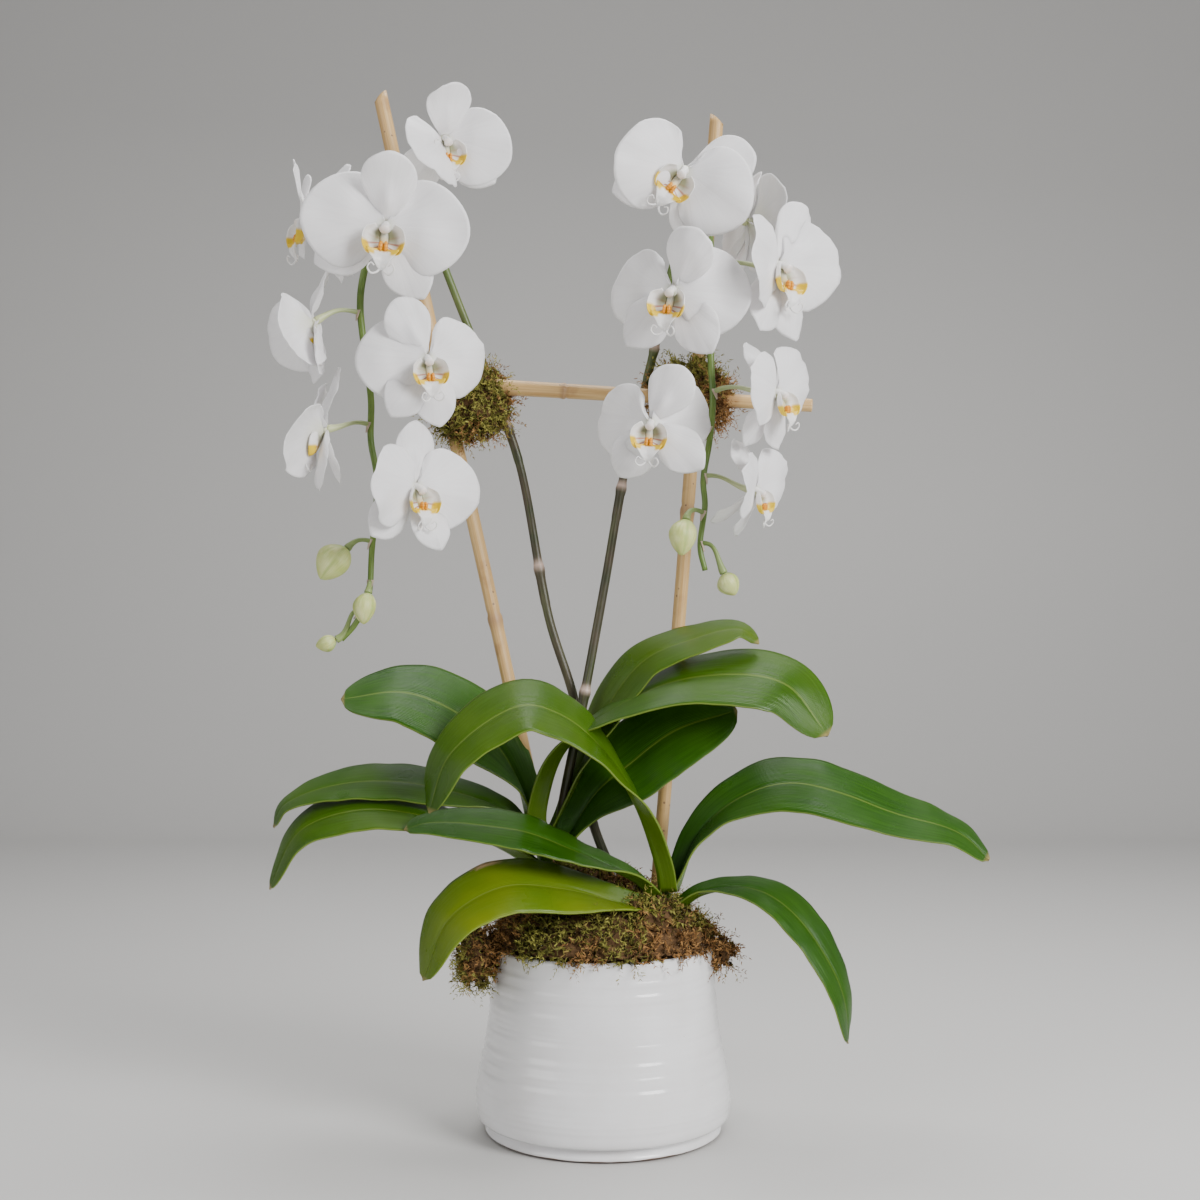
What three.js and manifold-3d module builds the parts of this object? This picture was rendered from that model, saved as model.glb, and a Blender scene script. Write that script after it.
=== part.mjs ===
// A white moth-orchid planting: two plants in one thrown pot, with their arching flower
// spikes held to a frame of two bamboo stakes and a bamboo crossbar.
// Millimetres, +Z up, front towards -Y. The origin is the middle of the pot's flat foot.
import * as THREE from "three";
import { mergeVertices } from "three/addons/utils/BufferGeometryUtils.js";
import Module from "manifold-3d";

// Gap kept between neighbouring pieces.
const GAP = 0.35;

// Pot: [outer radius, height] from the foot up to the rim.
const POT_PROFILE = [
  [71.5, 0],
  [74.5, 3],
  [78.6, 12],
  [79.7, 24],
  [77.7, 40],
  [74.5, 55],
  [71.6, 76],
  [70, 96],
  [70, 113],
];
const POT_HEIGHT = 115;
const POT_WALL = 5;
const POT_FLOOR = 8;

// Filling: bark up to just under the rim, moss heaped on top of it.
const BARK_TOP = 106;
const MOSS_RIM_HEIGHT = 118;
const MOSS_CROWN_RISE = 28;
const MOSS_EDGE_RADIUS = 72;

// Bamboo frame: [foot, top] axis points and the radii there.
const STAKE_FOOT_Z = 30;
const STAKE_RADIUS = 4.5;
const LEFT_STAKE = { foot: [-7, 25, STAKE_FOOT_Z], top: [-145, 8, 660] };
const RIGHT_STAKE = { foot: [26, 25, STAKE_FOOT_Z], top: [74, 8, 645] };
const STAKE_CUT_SLOPE = 0.8;
const CROSSBAR = { left: [-120, 2.5, 472], right: [134, 2.5, 457] };
const CROSSBAR_RADIUS_LEFT = 5.4;
const CROSSBAR_RADIUS_RIGHT = 4.4;

// Crowns: the short stems that carry the leaves.
const CROWN_RADIUS = 7;
const CROWN_HEIGHT = 56;
const LEFT_CROWN_FOOT = [-37, 0, 132];
const RIGHT_CROWN_FOOT = [38, -10, 104];

// Flower spikes: stem routes from the crown, up along the frame, over and down.
const SPIKE_RADIUS_FOOT = 3.1;
const SPIKE_RADIUS_TIP = 1.7;
const STALK_RADIUS = 1.5;
const LEFT_SPIKE_ROUTE = [
  [25, -2, 128],
  [13, 0, 146],
  [-5, 8, 185],
  [-15, 13, 226],
  [-18, 15, 265],
  [-35, 14, 321],
  [-54, 13, 420],
  [-70, 12.5, 466],
  [-89, 6, 513],
  [-100, 0, 541],
  [-112, -8, 573],
  [-126, -22, 585],
  [-139, -37, 570],
  [-146, -45, 536],
  [-149, -46, 512],
  [-142, -46, 452],
  [-142, -46, 428],
  [-138, -46, 403],
  [-141, -46, 359],
  [-143, -46, 332],
  [-151, -46, 315],
  [-159, -46, 306],
];
const RIGHT_SPIKE_ROUTE = [
  [-29, 3, 168],
  [-26, 3, 200],
  [-13, 4, 266],
  [1, 6, 342],
  [14, 9, 416],
  [25, 12, 462],
  [34, 5, 498],
  [44, -2, 544],
  [55, -13, 575],
  [63, -28, 572],
  [67, -40, 540],
  [66, -45, 477],
  [67, -46, 452],
  [65, -46, 428],
  [61, -46, 403],
  [62, -46, 388],
  [59, -46, 362],
  [62, -46, 348],
];

// Open flower, at size 1: the length, width and height above the flower's plane of its top
// sepal, right and left sepal, right and left petal, as seen from the front.
const HUB_RADIUS = 4.5;
const HUB_THICKNESS = 4;
const TEPAL_THICKNESS = 1.1;
const CLAW_START = 3.5;
const CLAW_HALF_WIDTH = 2;
const WIDEST_AT = 0.58;
const BLADE_BULGE = 5;
const TEPALS = [
  { length: 47, width: 34, level: -1.3 },
  { length: 48, width: 32, level: -1.3 },
  { length: 48, width: 32, level: -1.3 },
  { length: 51, width: 60, level: 1.3 },
  { length: 51, width: 60, level: 1.3 },
];
const COLUMN_LENGTH = 9;
const COLUMN_RADIUS = 2.6;
const LIP_ROOM = 1.06;

// Flowers on each spike, from the oldest down: middle of the flower, how far it turns to
// the right and tips up, how far it rolls clockwise, its size, and for each of TEPALS the
// direction clockwise from up and how far it leans forward.
const LEFT_FLOWERS = [
  {
    at: [-98, -42, 615],
    turn: 25,
    tip: -12,
    roll: 0,
    size: 0.86,
    tepals: [[-8, 38], [122, 0], [212, -30], [104, 30], [222, 46]],
  },
  {
    at: [-129, -80, 550],
    turn: 6,
    tip: -8,
    roll: 5,
    size: 1,
    tepals: [[0, 28], [146, 0], [238, -10], [90, 2], [270, 2]],
  },
  {
    at: [-181, -38, 566],
    turn: -64,
    tip: -5,
    roll: 0,
    size: 0.92,
    tepals: [[10, -40], [160, -30], [205, -30], [72, 25], [285, -10]],
  },
  {
    at: [-175, -60, 497],
    turn: -75,
    tip: -35,
    roll: 0,
    size: 0.82,
    tepals: [[0, -55], [148, 30], [212, 30], [100, 40], [265, 40]],
  },
  {
    at: [-104, -80, 471],
    turn: 16,
    tip: -8,
    roll: -5,
    size: 0.85,
    tepals: [[-26, 5], [172, 0], [216, 0], [94, -28], [268, -10]],
  },
  {
    at: [-168, -62, 432],
    turn: -70,
    tip: -8,
    roll: 10,
    size: 0.82,
    tepals: [[0, -20], [158, 15], [205, -15], [120, 48], [280, -20]],
  },
  {
    at: [-111, -80, 395],
    turn: 44,
    tip: -5,
    roll: -2,
    size: 0.85,
    tepals: [[4, -5], [160, 18], [224, -5], [96, 12], [266, 18]],
  },
];
const RIGHT_FLOWERS = [
  {
    at: [49, -62, 589],
    turn: -4,
    tip: -18,
    roll: 40,
    size: 0.95,
    tepals: [[40, -5], [128, 0], [216, 0], [90, 6], [238, 26]],
  },
  {
    at: [93, -14, 571],
    turn: 112,
    tip: -5,
    roll: 0,
    size: 0.86,
    tepals: [[20, 10], [148, 0], [212, 0], [82, 0], [272, 0]],
  },
  {
    at: [106, -54, 533],
    turn: 42,
    tip: -5,
    roll: 0,
    size: 0.98,
    tepals: [[28, 0], [163, 8], [205, 8], [85, 8], [262, 25]],
  },
  {
    at: [42, -76, 513],
    turn: -22,
    tip: -8,
    roll: 8,
    size: 0.93,
    tepals: [[27, 25], [142, 0], [219, 0], [94, -20], [256, -20]],
  },
  {
    at: [28, -80, 433],
    turn: -5,
    tip: -8,
    roll: 5,
    size: 0.86,
    tepals: [[27, 18], [126, 0], [208, -25], [72, -38], [256, -42]],
  },
  {
    at: [102, -74, 452],
    turn: 52,
    tip: -5,
    roll: -10,
    size: 0.77,
    tepals: [[0, -35], [160, -10], [198, -30], [75, 0], [275, 13]],
  },
  {
    at: [91, -56, 396],
    turn: 58,
    tip: -10,
    roll: -10,
    size: 0.72,
    tepals: [[0, -30], [165, -25], [192, -50], [78, 5], [280, 15]],
  },
];

// Buds: base of the bud, the way it points, length and width.
const LEFT_BUDS = [
  { at: [-155, -52, 361], points: [-0.6, -0.25, -0.75], length: 25, width: 20 },
  { at: [-142, -53, 334], points: [-0.1, -0.3, -1], length: 20, width: 13.5 },
  { at: [-162, -47, 306], points: [-1, -0.1, -0.35], length: 13, width: 10 },
];
const RIGHT_BUDS = [
  { at: [50, -58, 378], points: [-0.15, -0.25, -1], length: 23, width: 16.5 },
  { at: [73, -51, 346], points: [0.45, -0.1, -0.9], length: 15, width: 13.5 },
];

// Leaves, innermost first: spine from the crown to the tip, the way the upper face looks
// at the base, the middle and the tip, and the full width.
const LEAF_THICKNESS = 1.6;
const LEAF_FOLD = 0.16;
const LEFT_LEAVES = [
  {
    name: "leaf_left_arching_right",
    spine: [
      [-37, -6, 182],
      [-37, -10, 202],
      [-24, -13, 238],
      [8, -16, 264],
      [60, -22, 283],
      [112, -28, 279],
      [138, -32, 247],
    ],
    faces: [[-0.9, 0.3, 0.3], [-0.1, -0.3, 0.9], [0.3, -0.75, 0.6]],
    width: 66,
  },
  {
    name: "leaf_left_back_right",
    spine: [
      [-28, 4, 186],
      [-4, 2, 250],
      [23, -3, 291],
      [55, -6, 306],
      [87, -8, 313],
      [98, -10, 304],
    ],
    faces: [[-0.8, -0.2, 0.5], [-0.2, -0.5, 0.8], [0.4, -0.4, 0.8]],
    width: 40,
  },
  {
    name: "leaf_left_low_right",
    spine: [
      [-26, -3, 172],
      [-8, -4, 205],
      [14, -5, 226],
      [48, -8, 250],
      [84, -12, 262],
    ],
    faces: [[-0.4, -0.7, 0.5], [-0.2, -0.8, 0.5], [0.1, -0.8, 0.5]],
    width: 54,
  },
  {
    name: "leaf_left_upper",
    spine: [
      [-46, 1, 186],
      [-54, 1, 216],
      [-76, -1, 248],
      [-122, -5, 272],
      [-165, -8, 269],
    ],
    faces: [[0.8, -0.3, 0.5], [0.2, -0.6, 0.7], [-0.2, -0.6, 0.8]],
    width: 62,
  },
  {
    name: "leaf_left_middle",
    spine: [
      [-46, -3, 174],
      [-62, -5, 198],
      [-100, -9, 212],
      [-159, -12, 217],
      [-200, -12, 203],
      [-206, -12, 189],
    ],
    faces: [[0.5, -0.2, 0.8], [0.1, -0.5, 0.9], [-0.6, -0.3, 0.8]],
    width: 42,
  },
  {
    name: "leaf_left_lower",
    spine: [
      [-42, -9, 160],
      [-54, -16, 172],
      [-101, -26, 194],
      [-144, -32, 202],
      [-184, -34, 190],
      [-204, -34, 154],
    ],
    faces: [[0.4, -0.1, 0.9], [0, -0.4, 0.9], [-0.8, -0.4, 0.5]],
    width: 46,
  },
];
const RIGHT_LEAVES = [
  {
    name: "leaf_right_arching_left",
    spine: [
      [36, -17, 150],
      [34, -22, 166],
      [20, -32, 206],
      [-2, -40, 240],
      [-26, -47, 260],
      [-50, -52, 266],
      [-90, -62, 238],
      [-103, -66, 203],
    ],
    faces: [[0.85, 0.35, 0.4], [0.3, -0.2, 0.95], [-0.2, -0.6, 0.8], [-0.7, -0.5, 0.5]],
    width: 54,
  },
  {
    name: "leaf_right_side",
    spine: [
      [46, -10, 150],
      [60, -14, 184],
      [84, -19, 208],
      [116, -24, 217],
      [171, -29, 202],
      [219, -33, 186],
      [236, -35, 172],
    ],
    faces: [[-0.5, -0.5, 0.7], [0, -0.6, 0.8], [0.2, -0.4, 0.9]],
    width: 50,
  },
  {
    name: "leaf_right_long_left",
    spine: [
      [30, -16, 146],
      [20, -24, 158],
      [-2, -34, 170],
      [-51, -46, 190],
      [-104, -54, 196],
      [-119, -56, 192],
    ],
    faces: [[0.3, -0.1, 0.9], [0.1, -0.4, 0.9], [-0.3, -0.4, 0.8]],
    width: 40,
  },
  {
    name: "leaf_right_front",
    spine: [
      [36, -20, 136],
      [18, -32, 142],
      [-26, -50, 156],
      [-62, -62, 158],
      [-90, -72, 142],
      [-105, -77, 107],
    ],
    faces: [[0.1, -0.5, 0.9], [0, -0.5, 0.8], [-0.8, -0.5, 0.3]],
    width: 50,
  },
  {
    name: "leaf_right_low",
    spine: [
      [46, -15, 138],
      [62, -22, 150],
      [98, -38, 152],
      [124, -50, 130],
      [142, -56, 94],
      [145, -57, 66],
    ],
    faces: [[-0.2, -0.3, 0.9], [0.2, -0.4, 0.9], [0.9, -0.4, 0.2]],
    width: 36,
  },
];

const wasm = await Module();
wasm.setup();

const SURFACES = {
  glaze: { color: 0xf1eff0, roughness: 0.18 },
  bark: { color: 0x4a3323, roughness: 0.95 },
  moss: { color: 0x6b4a24, roughness: 0.98 },
  bamboo: { color: 0xc9a162, roughness: 0.45 },
  leaf: { color: 0x1f4a10, roughness: 0.3 },
  crown: { color: 0x4b7a24, roughness: 0.45 },
  stem: { color: 0x46582c, roughness: 0.45 },
  bud: { color: 0xc8cf86, roughness: 0.5 },
  petal: { color: 0xf6f4f4, roughness: 0.6 },
  lip: { color: 0xf3e7b4, roughness: 0.5 },
};
const materials = {};
for (const [name, look] of Object.entries(SURFACES)) {
  materials[name] = new THREE.MeshStandardMaterial({ ...look, metalness: 0, name });
}

const orchid = new THREE.Group();
orchid.name = "potted_orchid";

const vector = (p) => new THREE.Vector3(...p);
const route = (points) => new THREE.CatmullRomCurve3(points.map(vector), false, "centripetal");

// Turns a closed geometry, placed by a matrix, into a solid that can be cut and joined.
function toSolid(geometry, matrix = new THREE.Matrix4()) {
  const bare = new THREE.BufferGeometry();
  bare.setAttribute("position", geometry.getAttribute("position").clone());
  bare.setIndex(geometry.getIndex());
  bare.applyMatrix4(matrix);
  const merged = mergeVertices(bare, 1e-3);
  return new wasm.Manifold(
    new wasm.Mesh({
      numProp: 3,
      vertProperties: new Float32Array(merged.getAttribute("position").array),
      triVerts: new Uint32Array(merged.getIndex().array),
    }),
  );
}

function toGeometry(solid) {
  const { numProp, numVert, vertProperties, triVerts } = solid.getMesh();
  const positions = new Float32Array(numVert * 3);
  for (let i = 0; i < numVert; i += 1) {
    positions.set(vertProperties.subarray(i * numProp, i * numProp + 3), i * 3);
  }
  const geometry = new THREE.BufferGeometry();
  geometry.setAttribute("position", new THREE.BufferAttribute(positions, 3));
  geometry.setIndex(new THREE.BufferAttribute(new Uint32Array(triVerts), 1));
  geometry.computeVertexNormals();
  return geometry;
}

const joined = (solids) => solids.reduce((whole, solid) => whole.add(solid));
const cut = (solid, cutters) => cutters.reduce((rest, cutter) => rest.subtract(cutter), solid);

// The biggest body of a solid: drops the slivers that a cut at a leaf base can leave.
function mainBody(solid) {
  const bodies = solid.decompose();
  return bodies.reduce((big, body) => (body.volume() > big.volume() ? body : big));
}

function addPiece(name, geometry, material, parent = orchid) {
  const mesh = new THREE.Mesh(geometry, materials[material]);
  mesh.name = name;
  parent.add(mesh);
  return mesh;
}

// A closed thin slab. place(u, v, side) gives a point of its upper (side 1) or lower
// (side -1) face, for u from 0 to 1 along it and v from -1 to 1 across it.
function slab(rows, columns, place) {
  const positions = [];
  for (const side of [1, -1]) {
    for (let i = 0; i <= rows; i += 1) {
      for (let j = 0; j <= columns; j += 1) {
        positions.push(...place(i / rows, (2 * j) / columns - 1, side).toArray());
      }
    }
  }
  const below = (rows + 1) * (columns + 1);
  const corner = (i, j) => i * (columns + 1) + j;
  const index = [];
  const quad = (a, b, c, d) => index.push(a, b, c, a, c, d);
  for (let i = 0; i < rows; i += 1) {
    for (let j = 0; j < columns; j += 1) {
      const [a, b, c, d] = [corner(i, j), corner(i + 1, j), corner(i + 1, j + 1), corner(i, j + 1)];
      quad(a, b, c, d);
      quad(d + below, c + below, b + below, a + below);
    }
  }
  const rim = [];
  for (let i = 0; i < rows; i += 1) {
    rim.push(corner(i, 0));
  }
  for (let j = 0; j < columns; j += 1) {
    rim.push(corner(rows, j));
  }
  for (let i = rows; i > 0; i -= 1) {
    rim.push(corner(i, columns));
  }
  for (let j = columns; j > 0; j -= 1) {
    rim.push(corner(0, j));
  }
  rim.forEach((a, k) => {
    const b = rim[(k + 1) % rim.length];
    quad(a + below, b + below, b, a);
  });
  const geometry = new THREE.BufferGeometry();
  geometry.setAttribute("position", new THREE.Float32BufferAttribute(positions, 3));
  geometry.setIndex(index);
  return geometry;
}

// A closed round stem along a curve, with its radius given by radiusAt(u).
function stem(curve, steps, sides, radiusAt) {
  const frames = curve.computeFrenetFrames(steps);
  const positions = [];
  for (let i = 0; i <= steps; i += 1) {
    const centre = curve.getPointAt(i / steps);
    for (let j = 0; j < sides; j += 1) {
      const angle = (2 * Math.PI * j) / sides;
      const point = centre
        .clone()
        .addScaledVector(frames.normals[i], Math.cos(angle) * radiusAt(i / steps))
        .addScaledVector(frames.binormals[i], Math.sin(angle) * radiusAt(i / steps));
      positions.push(...point.toArray());
    }
  }
  const index = [];
  for (let i = 0; i < steps; i += 1) {
    for (let j = 0; j < sides; j += 1) {
      const a = i * sides + j;
      const b = i * sides + ((j + 1) % sides);
      index.push(a, b, b + sides, a, b + sides, a + sides);
    }
  }
  const end = steps * sides;
  for (let j = 1; j < sides - 1; j += 1) {
    index.push(0, j + 1, j);
    index.push(end, end + j, end + j + 1);
  }
  const geometry = new THREE.BufferGeometry();
  geometry.setAttribute("position", new THREE.Float32BufferAttribute(positions, 3));
  geometry.setIndex(index);
  return geometry;
}

// Pot: one thrown shell, flat underneath, with a rounded rim.
function potOutline() {
  const outer = new THREE.SplineCurve(POT_PROFILE.map((p) => new THREE.Vector2(...p)));
  const outside = outer.getPoints(9);
  const rimRadius = outside.at(-1).x;
  const rim = [
    new THREE.Vector2(rimRadius - 1.2, POT_HEIGHT),
    new THREE.Vector2(rimRadius - POT_WALL + 1.2, POT_HEIGHT),
  ];
  const inside = outside
    .filter((p) => p.y > POT_FLOOR + 4)
    .map((p) => new THREE.Vector2(p.x - POT_WALL, p.y))
    .reverse();
  const floor = [new THREE.Vector2(inside.at(-1).x - 4, POT_FLOOR), new THREE.Vector2(0, POT_FLOOR)];
  return { outside, rim, inside, floor };
}

function makePot() {
  const { outside, rim, inside, floor } = potOutline();
  return new THREE.LatheGeometry([new THREE.Vector2(0, 0), ...outside, ...rim, ...inside, ...floor], 36);
}

// LatheGeometry turns about Y, so its pieces are stood up on Z.
const STAND_UP = new THREE.Matrix4().makeRotationX(Math.PI / 2);

// The pot's outside, grown by the gap and filled, up to its rim.
function potCutter() {
  const { outside } = potOutline();
  const outline = [
    new THREE.Vector2(0, -GAP),
    ...outside.map((p) => new THREE.Vector2(p.x + GAP, p.y)),
    new THREE.Vector2(outside.at(-1).x + GAP, POT_HEIGHT + GAP),
    new THREE.Vector2(0, POT_HEIGHT + GAP),
  ];
  return toSolid(new THREE.LatheGeometry(outline, 36), STAND_UP);
}

// Bark: fills the pot's inside up to BARK_TOP.
function makeBark() {
  const { inside } = potOutline();
  const wall = inside
    .filter((p) => p.y < BARK_TOP)
    .reverse()
    .map((p) => new THREE.Vector2(p.x - GAP, p.y));
  const bottom = POT_FLOOR + GAP;
  const outline = [
    new THREE.Vector2(0, bottom),
    new THREE.Vector2(wall[0].x - 5, bottom),
    ...wall,
    new THREE.Vector2(wall.at(-1).x, BARK_TOP),
    new THREE.Vector2(0, BARK_TOP),
  ];
  return new THREE.LatheGeometry(outline, 24);
}

// Height of the moss heap: highest round the left crown, a little up round the right one.
function mossHeight(x, y) {
  const out = Math.min(1, Math.hypot(x, y) / MOSS_EDGE_RADIUS);
  const heap = (cx, cy, spread) => Math.exp(-((x - cx) ** 2 + (y - cy) ** 2) / (2 * spread ** 2));
  const heaps = 26 * heap(-22, 12, 23) + 8 * heap(40, -20, 20);
  return MOSS_RIM_HEIGHT + MOSS_CROWN_RISE * (1 - out ** 3) + heaps;
}

// Moss heap: a plug in the pot's mouth, the heap above it, and what hangs over the rim.
function makeMoss() {
  const plug = 64;
  const outline = [
    [0, BARK_TOP + GAP],
    [plug, BARK_TOP + GAP],
    [plug, POT_HEIGHT + GAP],
    [MOSS_EDGE_RADIUS, POT_HEIGHT + 1],
    [MOSS_EDGE_RADIUS - 1, MOSS_RIM_HEIGHT + 2],
    [60, MOSS_RIM_HEIGHT + 3],
    [46, MOSS_RIM_HEIGHT + 3],
    [31, MOSS_RIM_HEIGHT + 3],
    [16, MOSS_RIM_HEIGHT + 3],
    [0, MOSS_RIM_HEIGHT + 3],
  ].map((p) => new THREE.Vector2(...p));
  const heap = new THREE.LatheGeometry(outline, 22);
  heap.applyMatrix4(STAND_UP);
  const position = heap.getAttribute("position");
  for (let i = 0; i < position.count; i += 1) {
    if (position.getZ(i) > MOSS_RIM_HEIGHT + 2.5) {
      position.setZ(i, mossHeight(position.getX(i), position.getY(i)));
    }
  }
  return toSolid(heap);
}

function lump(centre, radii) {
  const place = new THREE.Matrix4().makeTranslation(...centre).scale(vector(radii));
  return toSolid(new THREE.SphereGeometry(1, 11, 7), place);
}

// A straight cane between two points, its far end cut on a slant.
function cane(from, to, radiusFrom, radiusTo, slope) {
  const axis = vector(to).sub(vector(from));
  const geometry = new THREE.CylinderGeometry(radiusTo, radiusFrom, axis.length(), 14);
  const position = geometry.getAttribute("position");
  for (let i = 0; i < position.count; i += 1) {
    if (position.getY(i) > 0) {
      position.setY(i, position.getY(i) + slope * position.getX(i));
    }
  }
  const turn = new THREE.Quaternion().setFromUnitVectors(new THREE.Vector3(0, 1, 0), axis.normalize());
  const middle = vector(from).add(vector(to)).multiplyScalar(0.5);
  const place = new THREE.Matrix4().compose(middle, turn, new THREE.Vector3(1, 1, 1));
  return toSolid(geometry, place);
}

// Crown: the short stem, a little thicker where the leaf bases clasp it.
function crown(foot, grow = 0) {
  const outline = [
    [0, -grow],
    [CROWN_RADIUS * 0.8 + grow, -grow],
    [CROWN_RADIUS + grow, CROWN_HEIGHT * 0.6],
    [CROWN_RADIUS * 0.5 + grow, CROWN_HEIGHT + grow],
    [0, CROWN_HEIGHT + grow],
  ].map((p) => new THREE.Vector2(...p));
  const place = new THREE.Matrix4().makeTranslation(...foot).multiply(STAND_UP);
  return toSolid(new THREE.LatheGeometry(outline, 12), place);
}

// Half width of a leaf: narrow where it clasps the crown, widest past the middle.
function leafHalfWidth(u, width) {
  const neck = 0.3 + 0.7 * THREE.MathUtils.smoothstep(u, 0, 0.5);
  const tip = Math.sqrt(Math.max(0, 1 - Math.max(0, (u - 0.6) / 0.4) ** 2.2));
  return (width / 2) * neck * tip + 0.8;
}

function leaf({ spine, faces, width }, grow = 0) {
  const curve = route(spine);
  const looks = route(faces);
  return toSolid(
    slab(12, 2, (u, v, side) => {
      const along = curve.getTangentAt(u);
      const across = looks.getPoint(u).cross(along).normalize();
      const up = along.clone().cross(across);
      const half = leafHalfWidth(u, width) + grow;
      const thick = (LEAF_THICKNESS * (1.3 - 0.7 * u)) / 2 + grow;
      return curve
        .getPointAt(u)
        .addScaledVector(across, half * v)
        .addScaledVector(up, LEAF_FOLD * half * Math.abs(v) + side * thick);
    }),
  );
}

// One sepal or petal: a claw at the flower's middle that opens into a rounded blade. It
// leans forward about the end of its claw, which sits in the hub.
function tepal({ length, width, level }, [bearing, lean]) {
  const place = new THREE.Matrix4()
    .makeRotationZ(THREE.MathUtils.degToRad(90 - bearing))
    .multiply(new THREE.Matrix4().makeTranslation(CLAW_START, 0, level))
    .multiply(new THREE.Matrix4().makeRotationY(-THREE.MathUtils.degToRad(lean)));
  const geometry = slab(4, 2, (u, v, side) => {
    const past = Math.max(0, u - WIDEST_AT);
    const blade = Math.sqrt(Math.max(0, 1 - 2 * (past / 0.6) ** 2));
    const half = Math.max(CLAW_HALF_WIDTH, (width / 2) * blade * THREE.MathUtils.smoothstep(u, -0.15, 0.5));
    const bulge = BLADE_BULGE * Math.sin(Math.PI * u) - 1.5 * v * v * u;
    return new THREE.Vector3((length - CLAW_START) * u, half * v, bulge + (side * TEPAL_THICKNESS) / 2);
  });
  return toSolid(geometry, place);
}

function sepalsAndPetals(poses) {
  const hub = new THREE.CylinderGeometry(HUB_RADIUS, HUB_RADIUS, HUB_THICKNESS, 6);
  return joined([toSolid(hub, STAND_UP), ...TEPALS.map((shape, i) => tepal(shape, poses[i]))]);
}

// Lip and column: the round column over a lip with two raised side lobes and a tongue.
function lipAndColumn() {
  const start = HUB_THICKNESS / 2 + 1.6;
  const column = new THREE.CylinderGeometry(COLUMN_RADIUS * 0.8, COLUMN_RADIUS, COLUMN_LENGTH, 6);
  const columnMiddle = start + COLUMN_LENGTH / 2;
  const columnPlace = new THREE.Matrix4().makeTranslation(0, 0, columnMiddle).multiply(STAND_UP);
  const seat = new THREE.BoxGeometry(5, 6, 5);
  const seatPlace = new THREE.Matrix4().makeTranslation(0, -4, start + 3);
  const tongue = slab(3, 1, (u, v, side) => {
    const half = 2.5 + 5 * Math.sin(Math.PI * (0.15 + 0.75 * u));
    return new THREE.Vector3(half * v, -5 - 17 * u, start + 3 + 9 * Math.sin(2.2 * u) + side * 0.8);
  });
  const lobes = [-1, 1].map((hand) =>
    slab(3, 1, (u, v, side) => {
      const half = 2.5 + 5 * Math.sin(Math.PI * (0.15 + 0.75 * u));
      const reach = hand * (1.5 + 9.5 * Math.sin(1.7 * u)) - side * 0.7;
      return new THREE.Vector3(reach, -5.5 + half * v, start + 3 + 8 * u);
    }),
  );
  const middle = [toSolid(column, columnPlace), toSolid(seat, seatPlace), toSolid(tongue)];
  return joined([...middle, ...lobes.map((lobe) => toSolid(lobe))]);
}

// Where a flower looks: its own Z out of its face, its own Y towards the upper sepal.
function flowerPlace({ at, turn, tip, roll, size }) {
  const [a, b] = [turn, tip].map(THREE.MathUtils.degToRad);
  const out = new THREE.Vector3(Math.sin(a) * Math.cos(b), -Math.cos(a) * Math.cos(b), Math.sin(b));
  const up = new THREE.Vector3(-Math.sin(a) * Math.sin(b), Math.cos(a) * Math.sin(b), Math.cos(b));
  up.applyAxisAngle(out, -THREE.MathUtils.degToRad(roll));
  const basis = new THREE.Matrix4().makeBasis(up.clone().cross(out), up, out);
  return basis.setPosition(...at).scale(new THREE.Vector3(size, size, size));
}

// A flower stalk: leaves the stem beside the flower or bud and ends just behind it.
function stalk(stemCurve, end, towards) {
  const aim = end.clone().add(new THREE.Vector3(0, 0, 6));
  let root = stemCurve.getPointAt(0);
  for (let i = 0; i <= 392; i += 1) {
    const point = stemCurve.getPointAt(i / 400);
    if (i > 200 && point.distanceTo(aim) < root.distanceTo(aim)) {
      root = point;
    }
  }
  const bend = end.clone().addScaledVector(towards, -root.distanceTo(end) * 0.4);
  const curve = new THREE.CubicBezierCurve3(root, root.clone().lerp(bend, 0.4), bend, end);
  return toSolid(stem(curve, 5, 5, () => STALK_RADIUS));
}

const spikeRadius = (u) => THREE.MathUtils.lerp(SPIKE_RADIUS_FOOT, SPIKE_RADIUS_TIP, u);

function spike(points, flowers, buds) {
  const curve = route(points);
  const main = toSolid(stem(curve, 50, 6, spikeRadius));
  const flowerStalks = flowers.map((flower) => {
    const place = flowerPlace(flower);
    const towards = new THREE.Vector3(0, 0, 1).transformDirection(place);
    const end = new THREE.Vector3(0, 0, -HUB_THICKNESS / 2 - 2 * GAP).applyMatrix4(place);
    return stalk(curve, end, towards);
  });
  const budStalks = buds.map(({ at, points: aim }) => {
    const towards = vector(aim).normalize();
    return stalk(curve, vector(at).addScaledVector(towards, -2 * GAP), towards);
  });
  return joined([main, ...flowerStalks, ...budStalks]);
}

// Bud: an egg on the end of its stalk.
function makeBud({ at, points, length, width }) {
  const egg = new THREE.SphereGeometry(1, 10, 7);
  const towards = vector(points).normalize();
  const turn = new THREE.Quaternion().setFromUnitVectors(new THREE.Vector3(0, 1, 0), towards);
  const middle = vector(at).addScaledVector(towards, length / 2);
  const scale = new THREE.Vector3(width / 2, length / 2, width / 2);
  return toSolid(egg, new THREE.Matrix4().compose(middle, turn, scale));
}

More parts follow.
